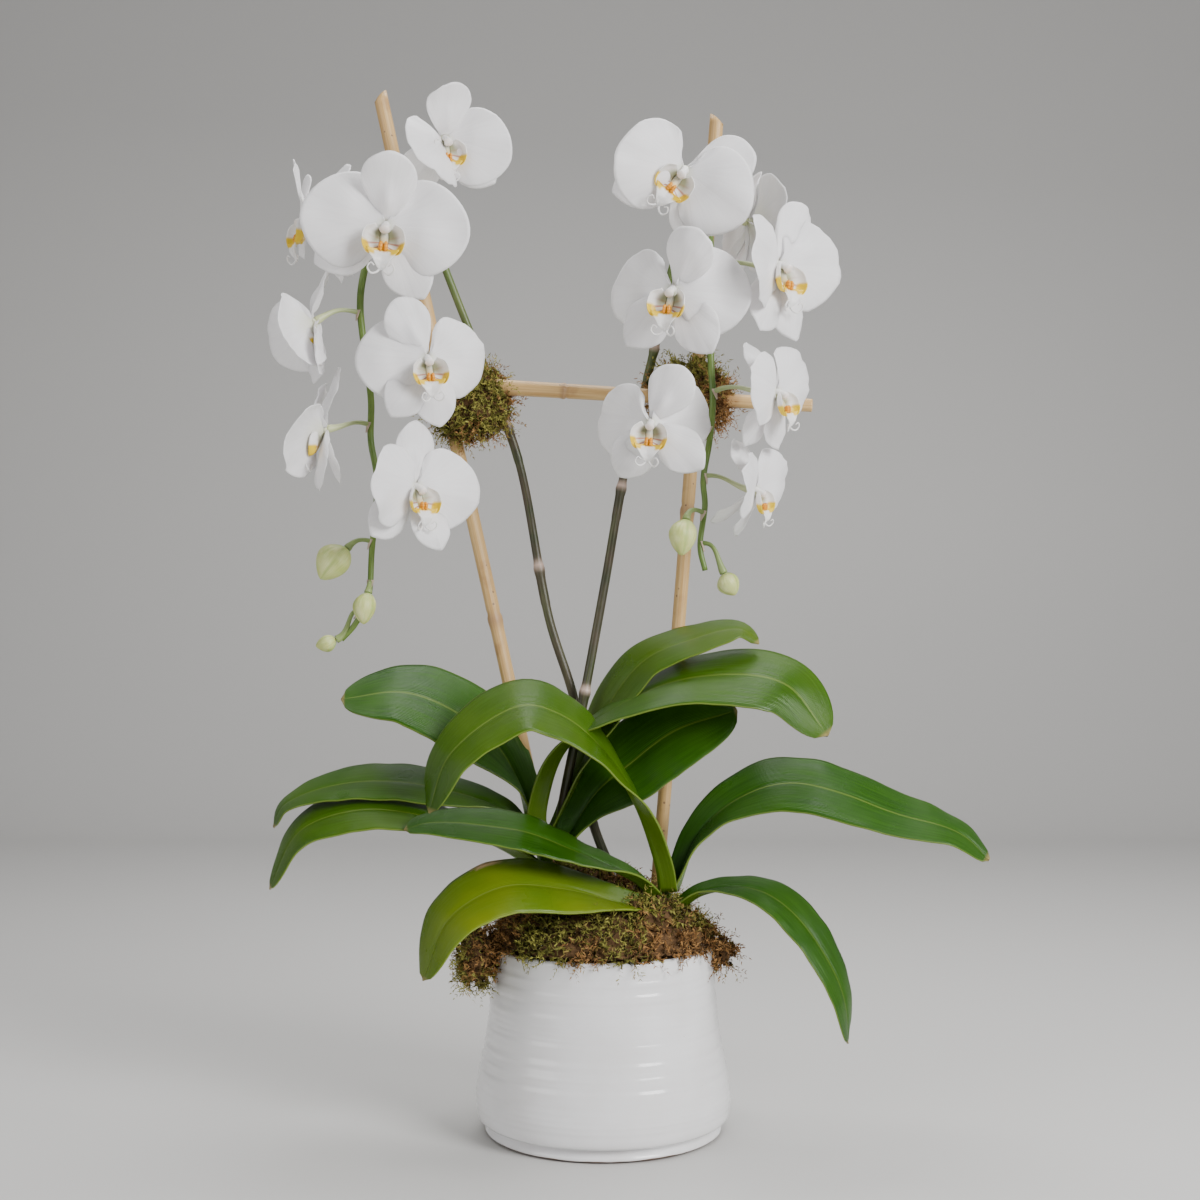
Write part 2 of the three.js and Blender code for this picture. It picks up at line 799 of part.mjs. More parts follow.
// Bamboo frame, and the same canes grown by the gap for cutting their neighbours.
const stake = ({ foot, top }, radius, slope) => cane(foot, top, radius, radius, slope);
const canes = (grow) => ({
  bamboo_stake_left: stake(LEFT_STAKE, STAKE_RADIUS + grow, STAKE_CUT_SLOPE),
  bamboo_stake_right: stake(RIGHT_STAKE, STAKE_RADIUS + grow, -STAKE_CUT_SLOPE),
  bamboo_crossbar: cane(
    CROSSBAR.left,
    CROSSBAR.right,
    CROSSBAR_RADIUS_LEFT + grow,
    CROSSBAR_RADIUS_RIGHT + grow,
    0.3,
  ),
});

const frame = canes(0);
const frameGrown = Object.values(canes(GAP));
const crownsGrown = [crown(LEFT_CROWN_FOOT, GAP), crown(RIGHT_CROWN_FOOT, GAP)];
const stemCutter = (points) => toSolid(stem(route(points), 50, 6, (u) => spikeRadius(u) + GAP));
const spikesGrown = [stemCutter(LEFT_SPIKE_ROUTE), stemCutter(RIGHT_SPIKE_ROUTE)];

addPiece("pot", toGeometry(toSolid(makePot(), STAND_UP)), "glaze");
const bark = cut(toSolid(makeBark(), STAND_UP), [...frameGrown, ...crownsGrown]);
addPiece("potting_bark", toGeometry(mainBody(bark)), "bark");
for (const [name, solid] of Object.entries(frame)) {
  addPiece(name, toGeometry(solid), "bamboo");
}
addPiece("crown_left", toGeometry(cut(crown(LEFT_CROWN_FOOT), spikesGrown)), "crown");
addPiece("crown_right", toGeometry(cut(crown(RIGHT_CROWN_FOOT), spikesGrown)), "crown");

// Each leaf is cut clear of the crown, the stems and the leaves inside it.
const leavesGrown = [];
for (const shape of [...LEFT_LEAVES, ...RIGHT_LEAVES]) {
  const solid = cut(leaf(shape), [...crownsGrown, ...spikesGrown, ...frameGrown, ...leavesGrown]);
  leavesGrown.push(leaf(shape, GAP));
  addPiece(shape.name, toGeometry(mainBody(solid)), "leaf");
}

const hanging = [lump([-78, -22, 110], [13, 22, 18]), lump([73, -10, 112], [9, 16, 10])];
const mossWhole = joined([makeMoss(), ...hanging.map((piece) => piece.subtract(potCutter()))]);
const moss = cut(mossWhole, [
  ...frameGrown,
  ...crownsGrown,
  ...spikesGrown,
  ...leavesGrown,
]);
addPiece("moss_top", toGeometry(mainBody(moss)), "moss");

// Moss wraps: hide the ties where a stake, the crossbar and a spike cross.
const wraps = {
  moss_wrap_left: lump([-86, 5, 460], [27, 17, 26]),
  moss_wrap_right: lump([56, 5, 462], [27, 17, 26]),
};
for (const [name, solid] of Object.entries(wraps)) {
  addPiece(name, toGeometry(mainBody(cut(solid, [...frameGrown, ...spikesGrown]))), "moss");
}

// Spikes, their flowers and their buds. The petals keep clear of the lip's outline, grown
// a little about its middle.
const lip = mainBody(lipAndColumn());
const lipGeometry = toGeometry(lip);
const lipMiddle = [0, -9, 11];
const lipRoom = lip
  .hull()
  .translate(lipMiddle.map((c) => -c))
  .scale(LIP_ROOM)
  .translate(lipMiddle);
const spikes = {
  left: [LEFT_SPIKE_ROUTE, LEFT_FLOWERS, LEFT_BUDS],
  right: [RIGHT_SPIKE_ROUTE, RIGHT_FLOWERS, RIGHT_BUDS],
};
for (const [hand, [points, flowers, buds]] of Object.entries(spikes)) {
  addPiece(`flower_spike_${hand}`, toGeometry(spike(points, flowers, buds)), "stem");
  flowers.forEach((flower, i) => {
    const group = new THREE.Group();
    group.applyMatrix4(flowerPlace(flower));
    orchid.add(group);
    const blades = mainBody(sepalsAndPetals(flower.tepals).subtract(lipRoom));
    addPiece(`flower_${hand}_${i + 1}_petals`, toGeometry(blades), "petal", group);
    addPiece(`flower_${hand}_${i + 1}_lip`, lipGeometry, "lip", group);
  });
  buds.forEach((bud, i) => addPiece(`bud_${hand}_${i + 1}`, toGeometry(makeBud(bud)), "bud"));
}

export default orchid;
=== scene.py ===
# A white moth-orchid planting: two plants in a thrown white pot, tied to a bamboo frame.
import random
from math import cos, exp, hypot, pi, radians, sin, sqrt, tanh

import bmesh
import bpy
from mathutils import Matrix, Vector, noise


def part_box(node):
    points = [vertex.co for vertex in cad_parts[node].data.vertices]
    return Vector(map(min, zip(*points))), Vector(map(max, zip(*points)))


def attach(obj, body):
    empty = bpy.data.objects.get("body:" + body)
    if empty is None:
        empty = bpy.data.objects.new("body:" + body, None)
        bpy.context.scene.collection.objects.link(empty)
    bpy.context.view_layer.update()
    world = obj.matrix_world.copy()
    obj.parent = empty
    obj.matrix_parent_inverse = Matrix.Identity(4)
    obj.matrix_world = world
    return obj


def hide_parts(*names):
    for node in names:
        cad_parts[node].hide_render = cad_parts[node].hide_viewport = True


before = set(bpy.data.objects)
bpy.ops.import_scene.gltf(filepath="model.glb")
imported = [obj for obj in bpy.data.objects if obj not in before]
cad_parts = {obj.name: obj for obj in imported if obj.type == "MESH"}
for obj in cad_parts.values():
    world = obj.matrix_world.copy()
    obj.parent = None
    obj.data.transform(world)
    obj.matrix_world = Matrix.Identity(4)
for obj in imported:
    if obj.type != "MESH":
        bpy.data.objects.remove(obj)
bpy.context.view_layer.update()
MM = 0.001

# ---- Studio ------------------------------------------------------------------------
# A pale floor that runs up into a pale wall, two large soft boxes and a soft top light.
# The camera stands one metre in front of the pot and looks up at the flowers a little.
scene = bpy.context.scene
camera = bpy.data.objects.new("camera", bpy.data.cameras.new("camera"))
scene.collection.objects.link(camera)
camera.location = (-0.002, -1.0, 0.290)
camera.rotation_euler = (radians(92.4), 0, 0)
camera.data.lens = 47.1
camera.data.sensor_width = 36
camera.data.clip_start = 0.01
scene.camera = camera


def new_material(name, **values):
    """A material with its Principled shader, which takes the plain values by socket name."""
    material = bpy.data.materials.new(name)
    material.use_nodes = True
    shader = material.node_tree.nodes["Principled BSDF"]
    for key, value in values.items():
        shader.inputs[key.replace("_", " ")].default_value = value
    return material, material.node_tree, shader


def soft_box(name, place, aim, width, height, power):
    light = bpy.data.lights.new(name, "AREA")
    light.shape = "RECTANGLE"
    light.size = width
    light.size_y = height
    light.energy = power
    lamp = bpy.data.objects.new(name, light)
    scene.collection.objects.link(lamp)
    lamp.location = place
    lamp.rotation_euler = (Vector(aim) - Vector(place)).to_track_quat("-Z", "Y").to_euler()


soft_box("key_box", (1.15, -1.15, 0.95), (0, 0, 0.3), 0.7, 0.9, 40)
soft_box("fill_box", (-1.4, -0.9, 0.8), (0, 0, 0.35), 0.9, 1.2, 9)
soft_box("top_box", (0.1, 0.25, 1.7), (0, 0, 0.3), 1.2, 1.0, 22)
world = bpy.data.worlds.new("studio")
scene.world = world
world.use_nodes = True
world.node_tree.nodes["Background"].inputs["Color"].default_value = (0.80, 0.80, 0.80, 1)
world.node_tree.nodes["Background"].inputs["Strength"].default_value = 0.32

floor_reach, floor_end, sweep_radius, wall_top = 6, 1.6, 0.6, 3.2
sweep_rows = 24
sweep_line = [(-floor_reach, 0)]
for i in range(sweep_rows + 1):
    turn = radians(90) * i / sweep_rows
    sweep_line.append((floor_end + sweep_radius * sin(turn), sweep_radius * (1 - cos(turn))))
sweep_line.append((floor_end + sweep_radius, wall_top))
floor_points = [(x, y, z) for y, z in sweep_line for x in (-floor_reach, floor_reach)]
floor_faces = [(2 * i, 2 * i + 1, 2 * i + 3, 2 * i + 2) for i in range(len(sweep_line) - 1)]
floor_mesh = bpy.data.meshes.new("studio_floor")
floor_mesh.from_pydata(floor_points, [], floor_faces)
floor_mesh.shade_smooth()
floor_mesh.materials.append(new_material("pale_floor", Base_Color=(0.64, 0.63, 0.615, 1), Roughness=0.55)[0])
floor = bpy.data.objects.new("studio_floor", floor_mesh)
scene.collection.objects.link(floor)


# ---- Pot ---------------------------------------------------------------------------
# Thrown white stoneware under a clear gloss glaze. The fingers' rings run round it, its rim
# wavers a little, and the glaze stops just above the flat foot and shows the bare body.
def add_node(kind, inputs=None, **settings):
    """A node in the tree being built. A socket is linked to its input, anything else is set."""
    made = tree.nodes.new(kind)
    for name, value in settings.items():
        setattr(made, name, value)
    for key, value in (inputs or {}).items():
        if isinstance(value, bpy.types.NodeSocket):
            tree.links.new(value, made.inputs[key])
        else:
            made.inputs[key].default_value = value
    return made


def maths(operation, *values):
    return add_node("ShaderNodeMath", dict(enumerate(values)), operation=operation).outputs[0]


def times(a, b):
    return maths("MULTIPLY", a, b)


def clouds(scale, detail):
    """Soft noise in the object's own space."""
    place = add_node("ShaderNodeNewGeometry").outputs["Position"]
    made = add_node("ShaderNodeTexNoise", {"Vector": place, "Scale": scale, "Detail": detail})
    return made.outputs["Fac"]


def ramp(value, low, high, start=0.0, end=1.0):
    """A value mapped from one range onto another, and held at its ends."""
    return add_node("ShaderNodeMapRange", {0: value, 1: low, 2: high, 3: start, 4: end}).outputs[0]


def mixed(share, *colours):
    """Two colours mixed by a share. Each is a socket or a colour."""
    first, second = ((*colour, 1) if isinstance(colour, tuple) else colour for colour in colours)
    return add_node("ShaderNodeMix", {0: share, 6: first, 7: second}, data_type="RGBA").outputs[2]


def finish_material(colour, height, distance, strength=1.0):
    """Gives the material being built its colour and a fine relief."""
    relief = add_node("ShaderNodeBump", {"Height": height, "Distance": distance, "Strength": strength})
    tree.links.new(colour, shader.inputs["Base Color"])
    tree.links.new(relief.outputs["Normal"], shader.inputs["Normal"])


def build_piece(name, parts, material, slot, *nodes):
    """A piece from parts, each a list of points, a list of faces and marks by name."""
    points, faces, marks = [], [], {}
    for part_points, part_faces, part_marks in parts:
        start = len(points)
        points.extend(part_points)
        faces.extend([tuple(start + corner for corner in face) for face in part_faces])
        for key, values in part_marks.items():
            marks.setdefault(key, [0.0] * start)
            marks[key].extend(values)
        for key, values in marks.items():
            values.extend([0.0] * (len(points) - len(values)))
    mesh = bpy.data.meshes.new(name)
    mesh.from_pydata(points, [], faces)
    for key, values in marks.items():
        mesh.attributes.new(key, "FLOAT", "POINT").data.foreach_set("value", values)
    mesh.shade_smooth()
    mesh.materials.append(material)
    made = bpy.data.objects.new(name, mesh)
    scene.collection.objects.link(made)
    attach(made, "root")
    if nodes:
        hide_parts(*nodes)
    return made


def pole_faces(rings, sides):
    """The faces of a closed body: an end point, rings of points, and the other end point."""
    faces = []
    last = 1 + (rings - 1) * sides
    for j in range(sides):
        k = (j + 1) % sides
        faces.append((0, 1 + k, 1 + j))
        faces.append((1 + rings * sides, last + j, last + k))
        for i in range(rings - 1):
            a = 1 + i * sides
            faces.append((a + j, a + k, a + sides + k, a + sides + j))
    return faces


def revolve(outline, sides, bend):
    """A closed turned shape: outline points (radius, height) from axis to axis."""
    points = [Vector((0, 0, outline[0][1]))]
    for radius, height in outline[1:-1]:
        for j in range(sides):
            points.append(bend(radius, 2 * pi * j / sides, height))
    points.append(Vector((0, 0, outline[-1][1])))
    return points, pole_faces(len(outline) - 2, sides), {}


def unevenness(x, y, z):
    return noise.noise(Vector((x, y, z)))


def clamp(value):
    return min(1, max(0, value))


def spline(points, share):
    """A point on a smooth line through evenly counted points, at a share of its length."""
    spot = clamp(share) * (len(points) - 1)
    index = min(int(spot), len(points) - 2)
    t = spot - index
    a = points[max(index - 1, 0)]
    b, c = points[index], points[index + 1]
    d = points[min(index + 2, len(points) - 1)]
    curve = (2 * a - 5 * b + 4 * c - d) * t * t + (3 * b - a - 3 * c + d) * t ** 3
    return 0.5 * (2 * b + (c - a) * t + curve)


pot_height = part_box("pot")[1].z
pot_wall = 5 * MM
pot_floor = 8 * MM
rings_on_node = {}
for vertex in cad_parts["pot"].data.vertices:
    level = round(vertex.co.z, 4)
    rings_on_node[level] = max(rings_on_node.get(level, 0), hypot(vertex.co.x, vertex.co.y))
pot_side = [Vector((rings_on_node[z], z)) for z in sorted(rings_on_node)][:-1]


def pot_radius(z):
    """The smooth outside radius of the pot at a height."""
    low, high = 0.0, 1.0
    for _ in range(24):
        middle = (low + high) / 2
        if spline(pot_side, middle).y < z:
            low = middle
        else:
            high = middle
    return spline(pot_side, low).x


pot_sides = 168
side_steps, rim_steps, inside_steps = 110, 10, 21
foot_round = 0.9 * MM
rim_round = 2.5 * MM
lip_start = pot_height - rim_round
pot_outline = [(0, 0), (pot_side[0].x - 3 * MM, 0), (pot_side[0].x - 0.8 * MM, 0.1 * MM)]
for i in range(side_steps + 1):
    z = foot_round + (lip_start - foot_round) * i / side_steps
    pot_outline.append((pot_radius(z), z))
rim_middle = pot_radius(lip_start) - pot_wall / 2
for i in range(1, rim_steps):
    turn = pi * i / rim_steps
    pot_outline.append((rim_middle + pot_wall / 2 * cos(turn), lip_start + rim_round * sin(turn)))
for i in range(inside_steps + 1):
    z = lip_start - (lip_start - pot_floor - 4 * MM) * i / inside_steps
    pot_outline.append((pot_radius(z) - pot_wall, z))
pot_outline += [(60 * MM, pot_floor), (0, pot_floor)]


def thrown(radius, turn, height):
    """The thrown wall: finger rings that climb as they go round, and an uneven hand."""
    full = 2 * pi
    climb = height + 1.4 * MM * turn / full
    around = Vector((cos(turn) * 1.1, sin(turn) * 1.1, height * 16))
    strength = 0.35 + 0.65 * abs(noise.noise(around + Vector((3, 1, 7))) * 2)
    ring_gap, fine_gap = 11 * MM, 4.3 * MM
    wave = sin(climb * full / ring_gap + 2.2 * sin(climb * 120))
    small = sin(climb * full / fine_gap + 1.7 * sin(climb * 260))
    fade = min(1, max(0, (height - 6 * MM) / (12 * MM)), max(0, (pot_height - height) / (14 * MM)))
    ring = (0.33 * wave * strength + 0.09 * small) * MM * fade
    wobble = 0.5 * MM * noise.noise(around * 0.8)
    lift = 0.7 * MM * unevenness(cos(turn), sin(turn), 5) * (height / pot_height) ** 6
    on_wall = radius > 45 * MM
    reach = radius + (ring + wobble if on_wall else 0)
    return Vector((reach * cos(turn), reach * sin(turn), max(0, height + lift)))


glaze, tree, shader = new_material("white_glaze", Coat_Weight=0.3, Coat_Roughness=0.1)
place = add_node("ShaderNodeNewGeometry").outputs["Position"]
height = add_node("ShaderNodeSeparateXYZ", {0: place}).outputs["Z"]
cloudy = ramp(clouds(26.0, 4.0), 0.35, 0.7)
white = mixed(cloudy, (0.86, 0.855, 0.865), (0.80, 0.785, 0.785))
pits = add_node("ShaderNodeTexVoronoi", {"Vector": place, "Scale": 190.0}).outputs["Distance"]
pits = ramp(pits, 0.03, 0.08, 1.0, 0.0)
pitted = times(pits, ramp(clouds(60.0, 1.0), 0.62, 0.68, 0.0, 0.7))
white = mixed(pitted, white, (0.42, 0.33, 0.26))
above_foot = maths("MULTIPLY_ADD", clouds(40.0, 3.0), -0.0022, height)
bare = ramp(above_foot, 0.0002, 0.0007, 1.0, 0.0)
tree.links.new(ramp(bare, 0.0, 1.0, 0.20, 0.85), shader.inputs["Roughness"])
colour = mixed(bare, white, (0.12, 0.065, 0.035))
finish_material(colour, clouds(120.0, 2.0), 0.00025, 0.5)
build_piece("thrown_pot", [revolve(pot_outline, pot_sides, thrown)], glaze, "glaze", "pot")


# ---- Potting bark --------------------------------------------------------------------
# Chipped fir bark that fills the pot to just under the rim, packed round roots and stakes.
# It is the modelled plug itself, hidden under the moss, in a rough dark brown.
bark, tree, shader = new_material("fir_bark", Roughness=0.9)
place = add_node("ShaderNodeNewGeometry").outputs["Position"]
chips = add_node("ShaderNodeTexVoronoi", {"Vector": place, "Scale": 90.0}).outputs["Distance"]
brown = mixed(ramp(chips, 0.0, 0.8, 0.2, 1.0), (0.035, 0.02, 0.012), (0.16, 0.09, 0.05))
finish_material(brown, chips, 0.003)
bark_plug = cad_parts["potting_bark"].data
bark_plug.materials.clear()
bark_plug.materials.append(bark)


# ---- Bamboo frame --------------------------------------------------------------------
# Two dry canes stand in the bark and lean apart; a third is tied across them. Each has
# swollen joints, a slanting saw cut at its end, and a thin dull-yellow skin with dark marks.
def bell(value, width):
    return exp(-((value / width) ** 2))


def smooth_path(points, count):
    """Evenly spaced points on a smooth line through the given ones."""
    corners = [Vector(p) for p in points]
    line = [corners[0] * 2 - corners[1]] + corners + [corners[-1] * 2 - corners[-2]]
    knots = [0.0]
    for a, b in zip(line, line[1:]):
        knots.append(knots[-1] + sqrt((b - a).length))
    dense = []
    steps = 24
    for i in range(1, len(corners)):
        for step in range(steps):
            t = knots[i] + (knots[i + 1] - knots[i]) * step / steps
            level = line[i - 1:i + 3]
            for starts, ends in (((-1, 0, 1), (0, 1, 2)), ((-1, 0), (1, 2)), ((0,), (1,))):
                shares = [(t - knots[i + a]) / (knots[i + b] - knots[i + a]) for a, b in zip(starts, ends)]
                level = [a.lerp(b, share) for a, b, share in zip(level, level[1:], shares)]
            dense.append(level[0])
    dense.append(corners[-1])
    lengths = [0.0]
    for a, b in zip(dense, dense[1:]):
        lengths.append(lengths[-1] + (b - a).length)
    even, k = [], 0
    for i in range(count):
        target = lengths[-1] * i / (count - 1)
        while k < len(dense) - 2 and lengths[k + 1] < target:
            k += 1
        share = (target - lengths[k]) / max(lengths[k + 1] - lengths[k], 1e-9)
        even.append(dense[k].lerp(dense[k + 1], clamp(share)))
    return even


def ring_faces(rows, sides):
    """The faces between rows + 1 rings of points, and a flat face at each end."""
    faces = []
    for i in range(rows):
        for j in range(sides):
            a, b = i * sides + j, i * sides + (j + 1) % sides
            faces.append((a, b, b + sides, a + sides))
    faces.append(tuple(range(sides - 1, -1, -1)))
    faces.append(tuple(range(rows * sides, (rows + 1) * sides)))
    return faces


def tube(path, radius_at, sides):
    """A closed round stem along a path. radius_at takes the share of the length."""
    rows = len(path) - 1
    tangents = [(path[min(i + 1, rows)] - path[max(i - 1, 0)]).normalized() for i in range(rows + 1)]
    side = tangents[0].orthogonal().normalized()
    points, around, along = [], [], []
    length = 0.0
    for i, centre in enumerate(path):
        side = (side - tangents[i] * side.dot(tangents[i])).normalized()
        other = tangents[i].cross(side)
        if i:
            length += (centre - path[i - 1]).length
        for j in range(sides):
            turn = 2 * pi * j / sides
            radius = radius_at(i / rows, turn)
            points.append(centre + side * cos(turn) * radius + other * sin(turn) * radius)
            around.append(cos(turn))
            along.append(length)
    return points, ring_faces(rows, sides), {"along": along, "around": around}


def cane_ends(node, axis):
    """The middles of the two ends of a cane, from its node's two end rings."""
    corners = [vertex.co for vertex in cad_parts[node].data.vertices]
    middle = (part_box(node)[0][axis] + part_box(node)[1][axis]) / 2
    ends = []
    for keep in (lambda p: p[axis] < middle, lambda p: p[axis] >= middle):
        ring = {tuple(round(c, 5) for c in p): p for p in corners if keep(p)}
        ends.append(sum(ring.values(), Vector()) / len(ring))
    return ends


def cane(node, axis, radii, joints, seed, slant):
    """A cane with joints at shares of its length and a slanting, hollow far end. radii in mm."""
    start, end = cane_ends(node, axis)
    rows, sides = 240, 28
    draw = random.Random(seed)
    sway = Vector((draw.uniform(-1, 1), draw.uniform(-1, 1), 0)) * 1.2 * MM
    path = []
    for i in range(rows + 1):
        t = i / rows
        path.append(start.lerp(end, t) + sway * sin(pi * t) * sin(5 * t + seed))

    def radius(t, turn):
        swell = sum(0.55 * bell(t - joint, 0.006) - 0.5 * bell(t - joint - 0.007, 0.0022) for joint in joints)
        flute = 0.12 * sin(turn * 3 + seed)
        return (radii[0] + (radii[1] - radii[0]) * t + swell + flute) * MM

    points, faces, marks = tube(path, radius, sides)
    direction = (end - start).normalized()
    for point in points[-sides:]:
        point += direction * slant * (point - path[-1]).x
    marks["joint"] = []
    for i in range(len(points)):
        t = (i // sides) / rows
        marks["joint"].append(sum(bell(t - joint, 0.008) for joint in joints))
    hollow = [path[-1] + (p - path[-1]) * 0.42 for p in points[-sides:]]
    deep = [p - direction * 5 * MM for p in hollow]
    rim = len(points)
    faces.pop()
    for j in range(sides):
        k = (j + 1) % sides
        faces.append((rim - sides + j, rim - sides + k, rim + k, rim + j))
        faces.append((rim + j, rim + k, rim + sides + k, rim + sides + j))
    faces.append(tuple(range(rim + sides, rim + 2 * sides)))
    points.extend(hollow + deep)
    for key, value in (("along", 1.0), ("around", 0.0), ("joint", 0.0)):
        marks[key].extend([value] * 2 * sides)
    marks["cut"] = [0.0] * rim + [1.0] * 2 * sides
    return points, faces, marks


def new_group(name, result, **inputs):
    """A node group that takes numbers, its input sockets, and the socket of its result."""
    group = bpy.data.node_groups.new(name, "ShaderNodeTree")
    for label, standard in inputs.items():
        socket = group.interface.new_socket(label, in_out="INPUT", socket_type="NodeSocketFloat")
        socket.default_value = standard
    group.interface.new_socket(result, in_out="OUTPUT", socket_type="NodeSocketFloat")
    given = group.nodes.new("NodeGroupInput").outputs
    return group, given, group.nodes.new("NodeGroupOutput").inputs[result]


# Streaks: fine fibres that run along a piece, from how far along and across a point is.
tree, given, result = new_group("streaks", "Fibre", Along=0.0, Across=0.0, Lines=40.0, Stretch=4.0)
wide = times(given["Across"], given["Lines"])
long = times(given["Along"], given["Stretch"])
spot = add_node("ShaderNodeCombineXYZ", {"X": wide, "Y": long}).outputs[0]
grain = add_node("ShaderNodeTexNoise", {"Vector": spot, "Scale": 1.0, "Detail": 3.0})
tree.links.new(grain.outputs["Fac"], result)
streaks = tree

# Flecks: small scattered marks in the object's own space.
tree, given, result = new_group("flecks", "Fleck", Scale=300.0, Size=0.15, Share=0.5)
place = add_node("ShaderNodeNewGeometry").outputs["Position"]
cells = add_node("ShaderNodeTexVoronoi", {"Vector": place, "Scale": given["Scale"]})
pick = add_node("ShaderNodeSeparateColor", {0: cells.outputs["Color"]}).outputs[0]
inside = maths("LESS_THAN", cells.outputs["Distance"], given["Size"])
kept = maths("LESS_THAN", pick, given["Share"])
tree.links.new(times(inside, kept), result)
flecks = tree


def mark(name):
    """The value that the mesh carries under a name."""
    return add_node("ShaderNodeAttribute", attribute_name=name).outputs["Fac"]


def grouped(group, **inputs):
    return add_node("ShaderNodeGroup", inputs, node_tree=group).outputs[0]


def fibres(lines, stretch, across="around"):
    """Streaks along a piece, by the values that its mesh carries."""
    places = {"Along": mark("along"), "Across": mark(across)}
    return grouped(streaks, Lines=lines, Stretch=stretch, **places)


bamboo, tree, shader = new_material("dry_bamboo", Roughness=0.42)
fibre = fibres(9.0, 18.0)
blotch = clouds(55.0, 4.0)
skin = mixed(ramp(fibre, 0.35, 0.65), (0.52, 0.31, 0.115), (0.66, 0.44, 0.19))
skin = mixed(ramp(blotch, 0.58, 0.72, 0.0, 0.55), skin, (0.34, 0.175, 0.07))
skin = mixed(times(mark("joint"), 0.7), skin, (0.33, 0.19, 0.10))
specks = grouped(flecks, Scale=210.0, Size=0.16, Share=0.3)
skin = mixed(times(specks, 0.75), skin, (0.12, 0.06, 0.03))
skin = mixed(times(mark("cut"), 0.8), skin, (0.70, 0.57, 0.38))
finish_material(skin, fibre, 0.0003, 0.6)
for name, node, axis, radii, joints, seed, slant in (
    ("cane_left", "bamboo_stake_left", 2, (4.3, 4.6), (0.12, 0.28, 0.46, 0.655, 0.86), 3, 0.8),
    ("cane_right", "bamboo_stake_right", 2, (4.2, 4.5), (0.10, 0.33, 0.585, 0.80), 8, -0.8),
    ("cane_across", "bamboo_crossbar", 0, (5.2, 4.2), (0.06, 0.372, 0.69, 0.955), 5, 0),
):
    build_piece(name, [cane(node, axis, radii, joints, seed, slant)], bamboo, "bamboo", node)


# ---- Crowns --------------------------------------------------------------------------
# Each plant's short stem, wrapped in the split sheaths of its leaves. It sits in the bark
# and shows only as green ridges between the feet of the leaves.
leaf_green, tree, shader = new_material("leaf_green", Roughness=0.4, Specular_IOR_Level=0.28)
across, along, face = mark("across"), mark("along"), mark("face")
fibre = fibres(16.0, 5.0, "across")
cloud = clouds(22.0, 3.0)
upper = mixed(ramp(fibre, 0.3, 0.7), (0.012, 0.056, 0.0008), (0.026, 0.098, 0.001))
upper = mixed(ramp(cloud, 0.42, 0.75, 0.0, 0.6), upper, (0.042, 0.125, 0.002))
under = mixed(ramp(fibre, 0.3, 0.7), (0.055, 0.125, 0.004), (0.085, 0.165, 0.007))
green = mixed(face, under, upper)
aged = mixed(ramp(cloud, 0.3, 0.7), (0.110, 0.190, 0.003), (0.190, 0.235, 0.006))
green = mixed(mark("age"), green, aged)
middle = maths("ABSOLUTE", across)
rib = times(ramp(middle, 0.0, 0.045, 1.0, 0.0), ramp(along, 0.97, 0.99, 0.55, 0.0))
green = mixed(rib, green, (0.20, 0.27, 0.05))
green = mixed(ramp(middle, 0.975, 0.998, 0.0, 0.45), green, (0.25, 0.32, 0.06))
green = mixed(mark("scar"), green, (0.52, 0.33, 0.19))
green = mixed(ramp(along, 0.985, 1.0, 0.0, 0.8), green, (0.45, 0.33, 0.14))
vein = maths("SINE", times(across, 150.0))
finish_material(green, maths("MULTIPLY_ADD", vein, fibre, fibre), 0.0002, 0.5)
tree.links.new(ramp(cloud, 0.35, 0.7, 0.26, 0.40), shader.inputs["Roughness"])


def crown(node, sheaths, start):
    """A tapering stem with overlapping sheath edges that spiral round it."""
    low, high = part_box(node)
    foot = Vector(((low.x + high.x) / 2, (low.y + high.y) / 2, low.z))
    rows, sides, reach = 26, 36, (high.x - low.x) / 2
    points, across_marks = [], []
    for i in range(rows + 1):
        t = i / rows
        for j in range(sides):
            turn = 2 * pi * j / sides
            step = (sheaths * turn / (2 * pi) + 1.3 * t + start) % 1
            radius = reach * (1 - 0.55 * t ** 1.6) * (0.86 + 0.14 * step)
            rise = (high.z - low.z) * t
            points.append(foot + Vector((radius * cos(turn), radius * sin(turn), rise)))
            across_marks.append(0.2 + 0.7 * step)
    return points, ring_faces(rows, sides), {"across": across_marks, "along": [0.1] * len(points)}


for side, start in (("left", 0.1), ("right", 0.6)):
    build_piece("crown_stem_" + side, [crown("crown_" + side, 2, start)], leaf_green, "leaf", "crown_" + side)


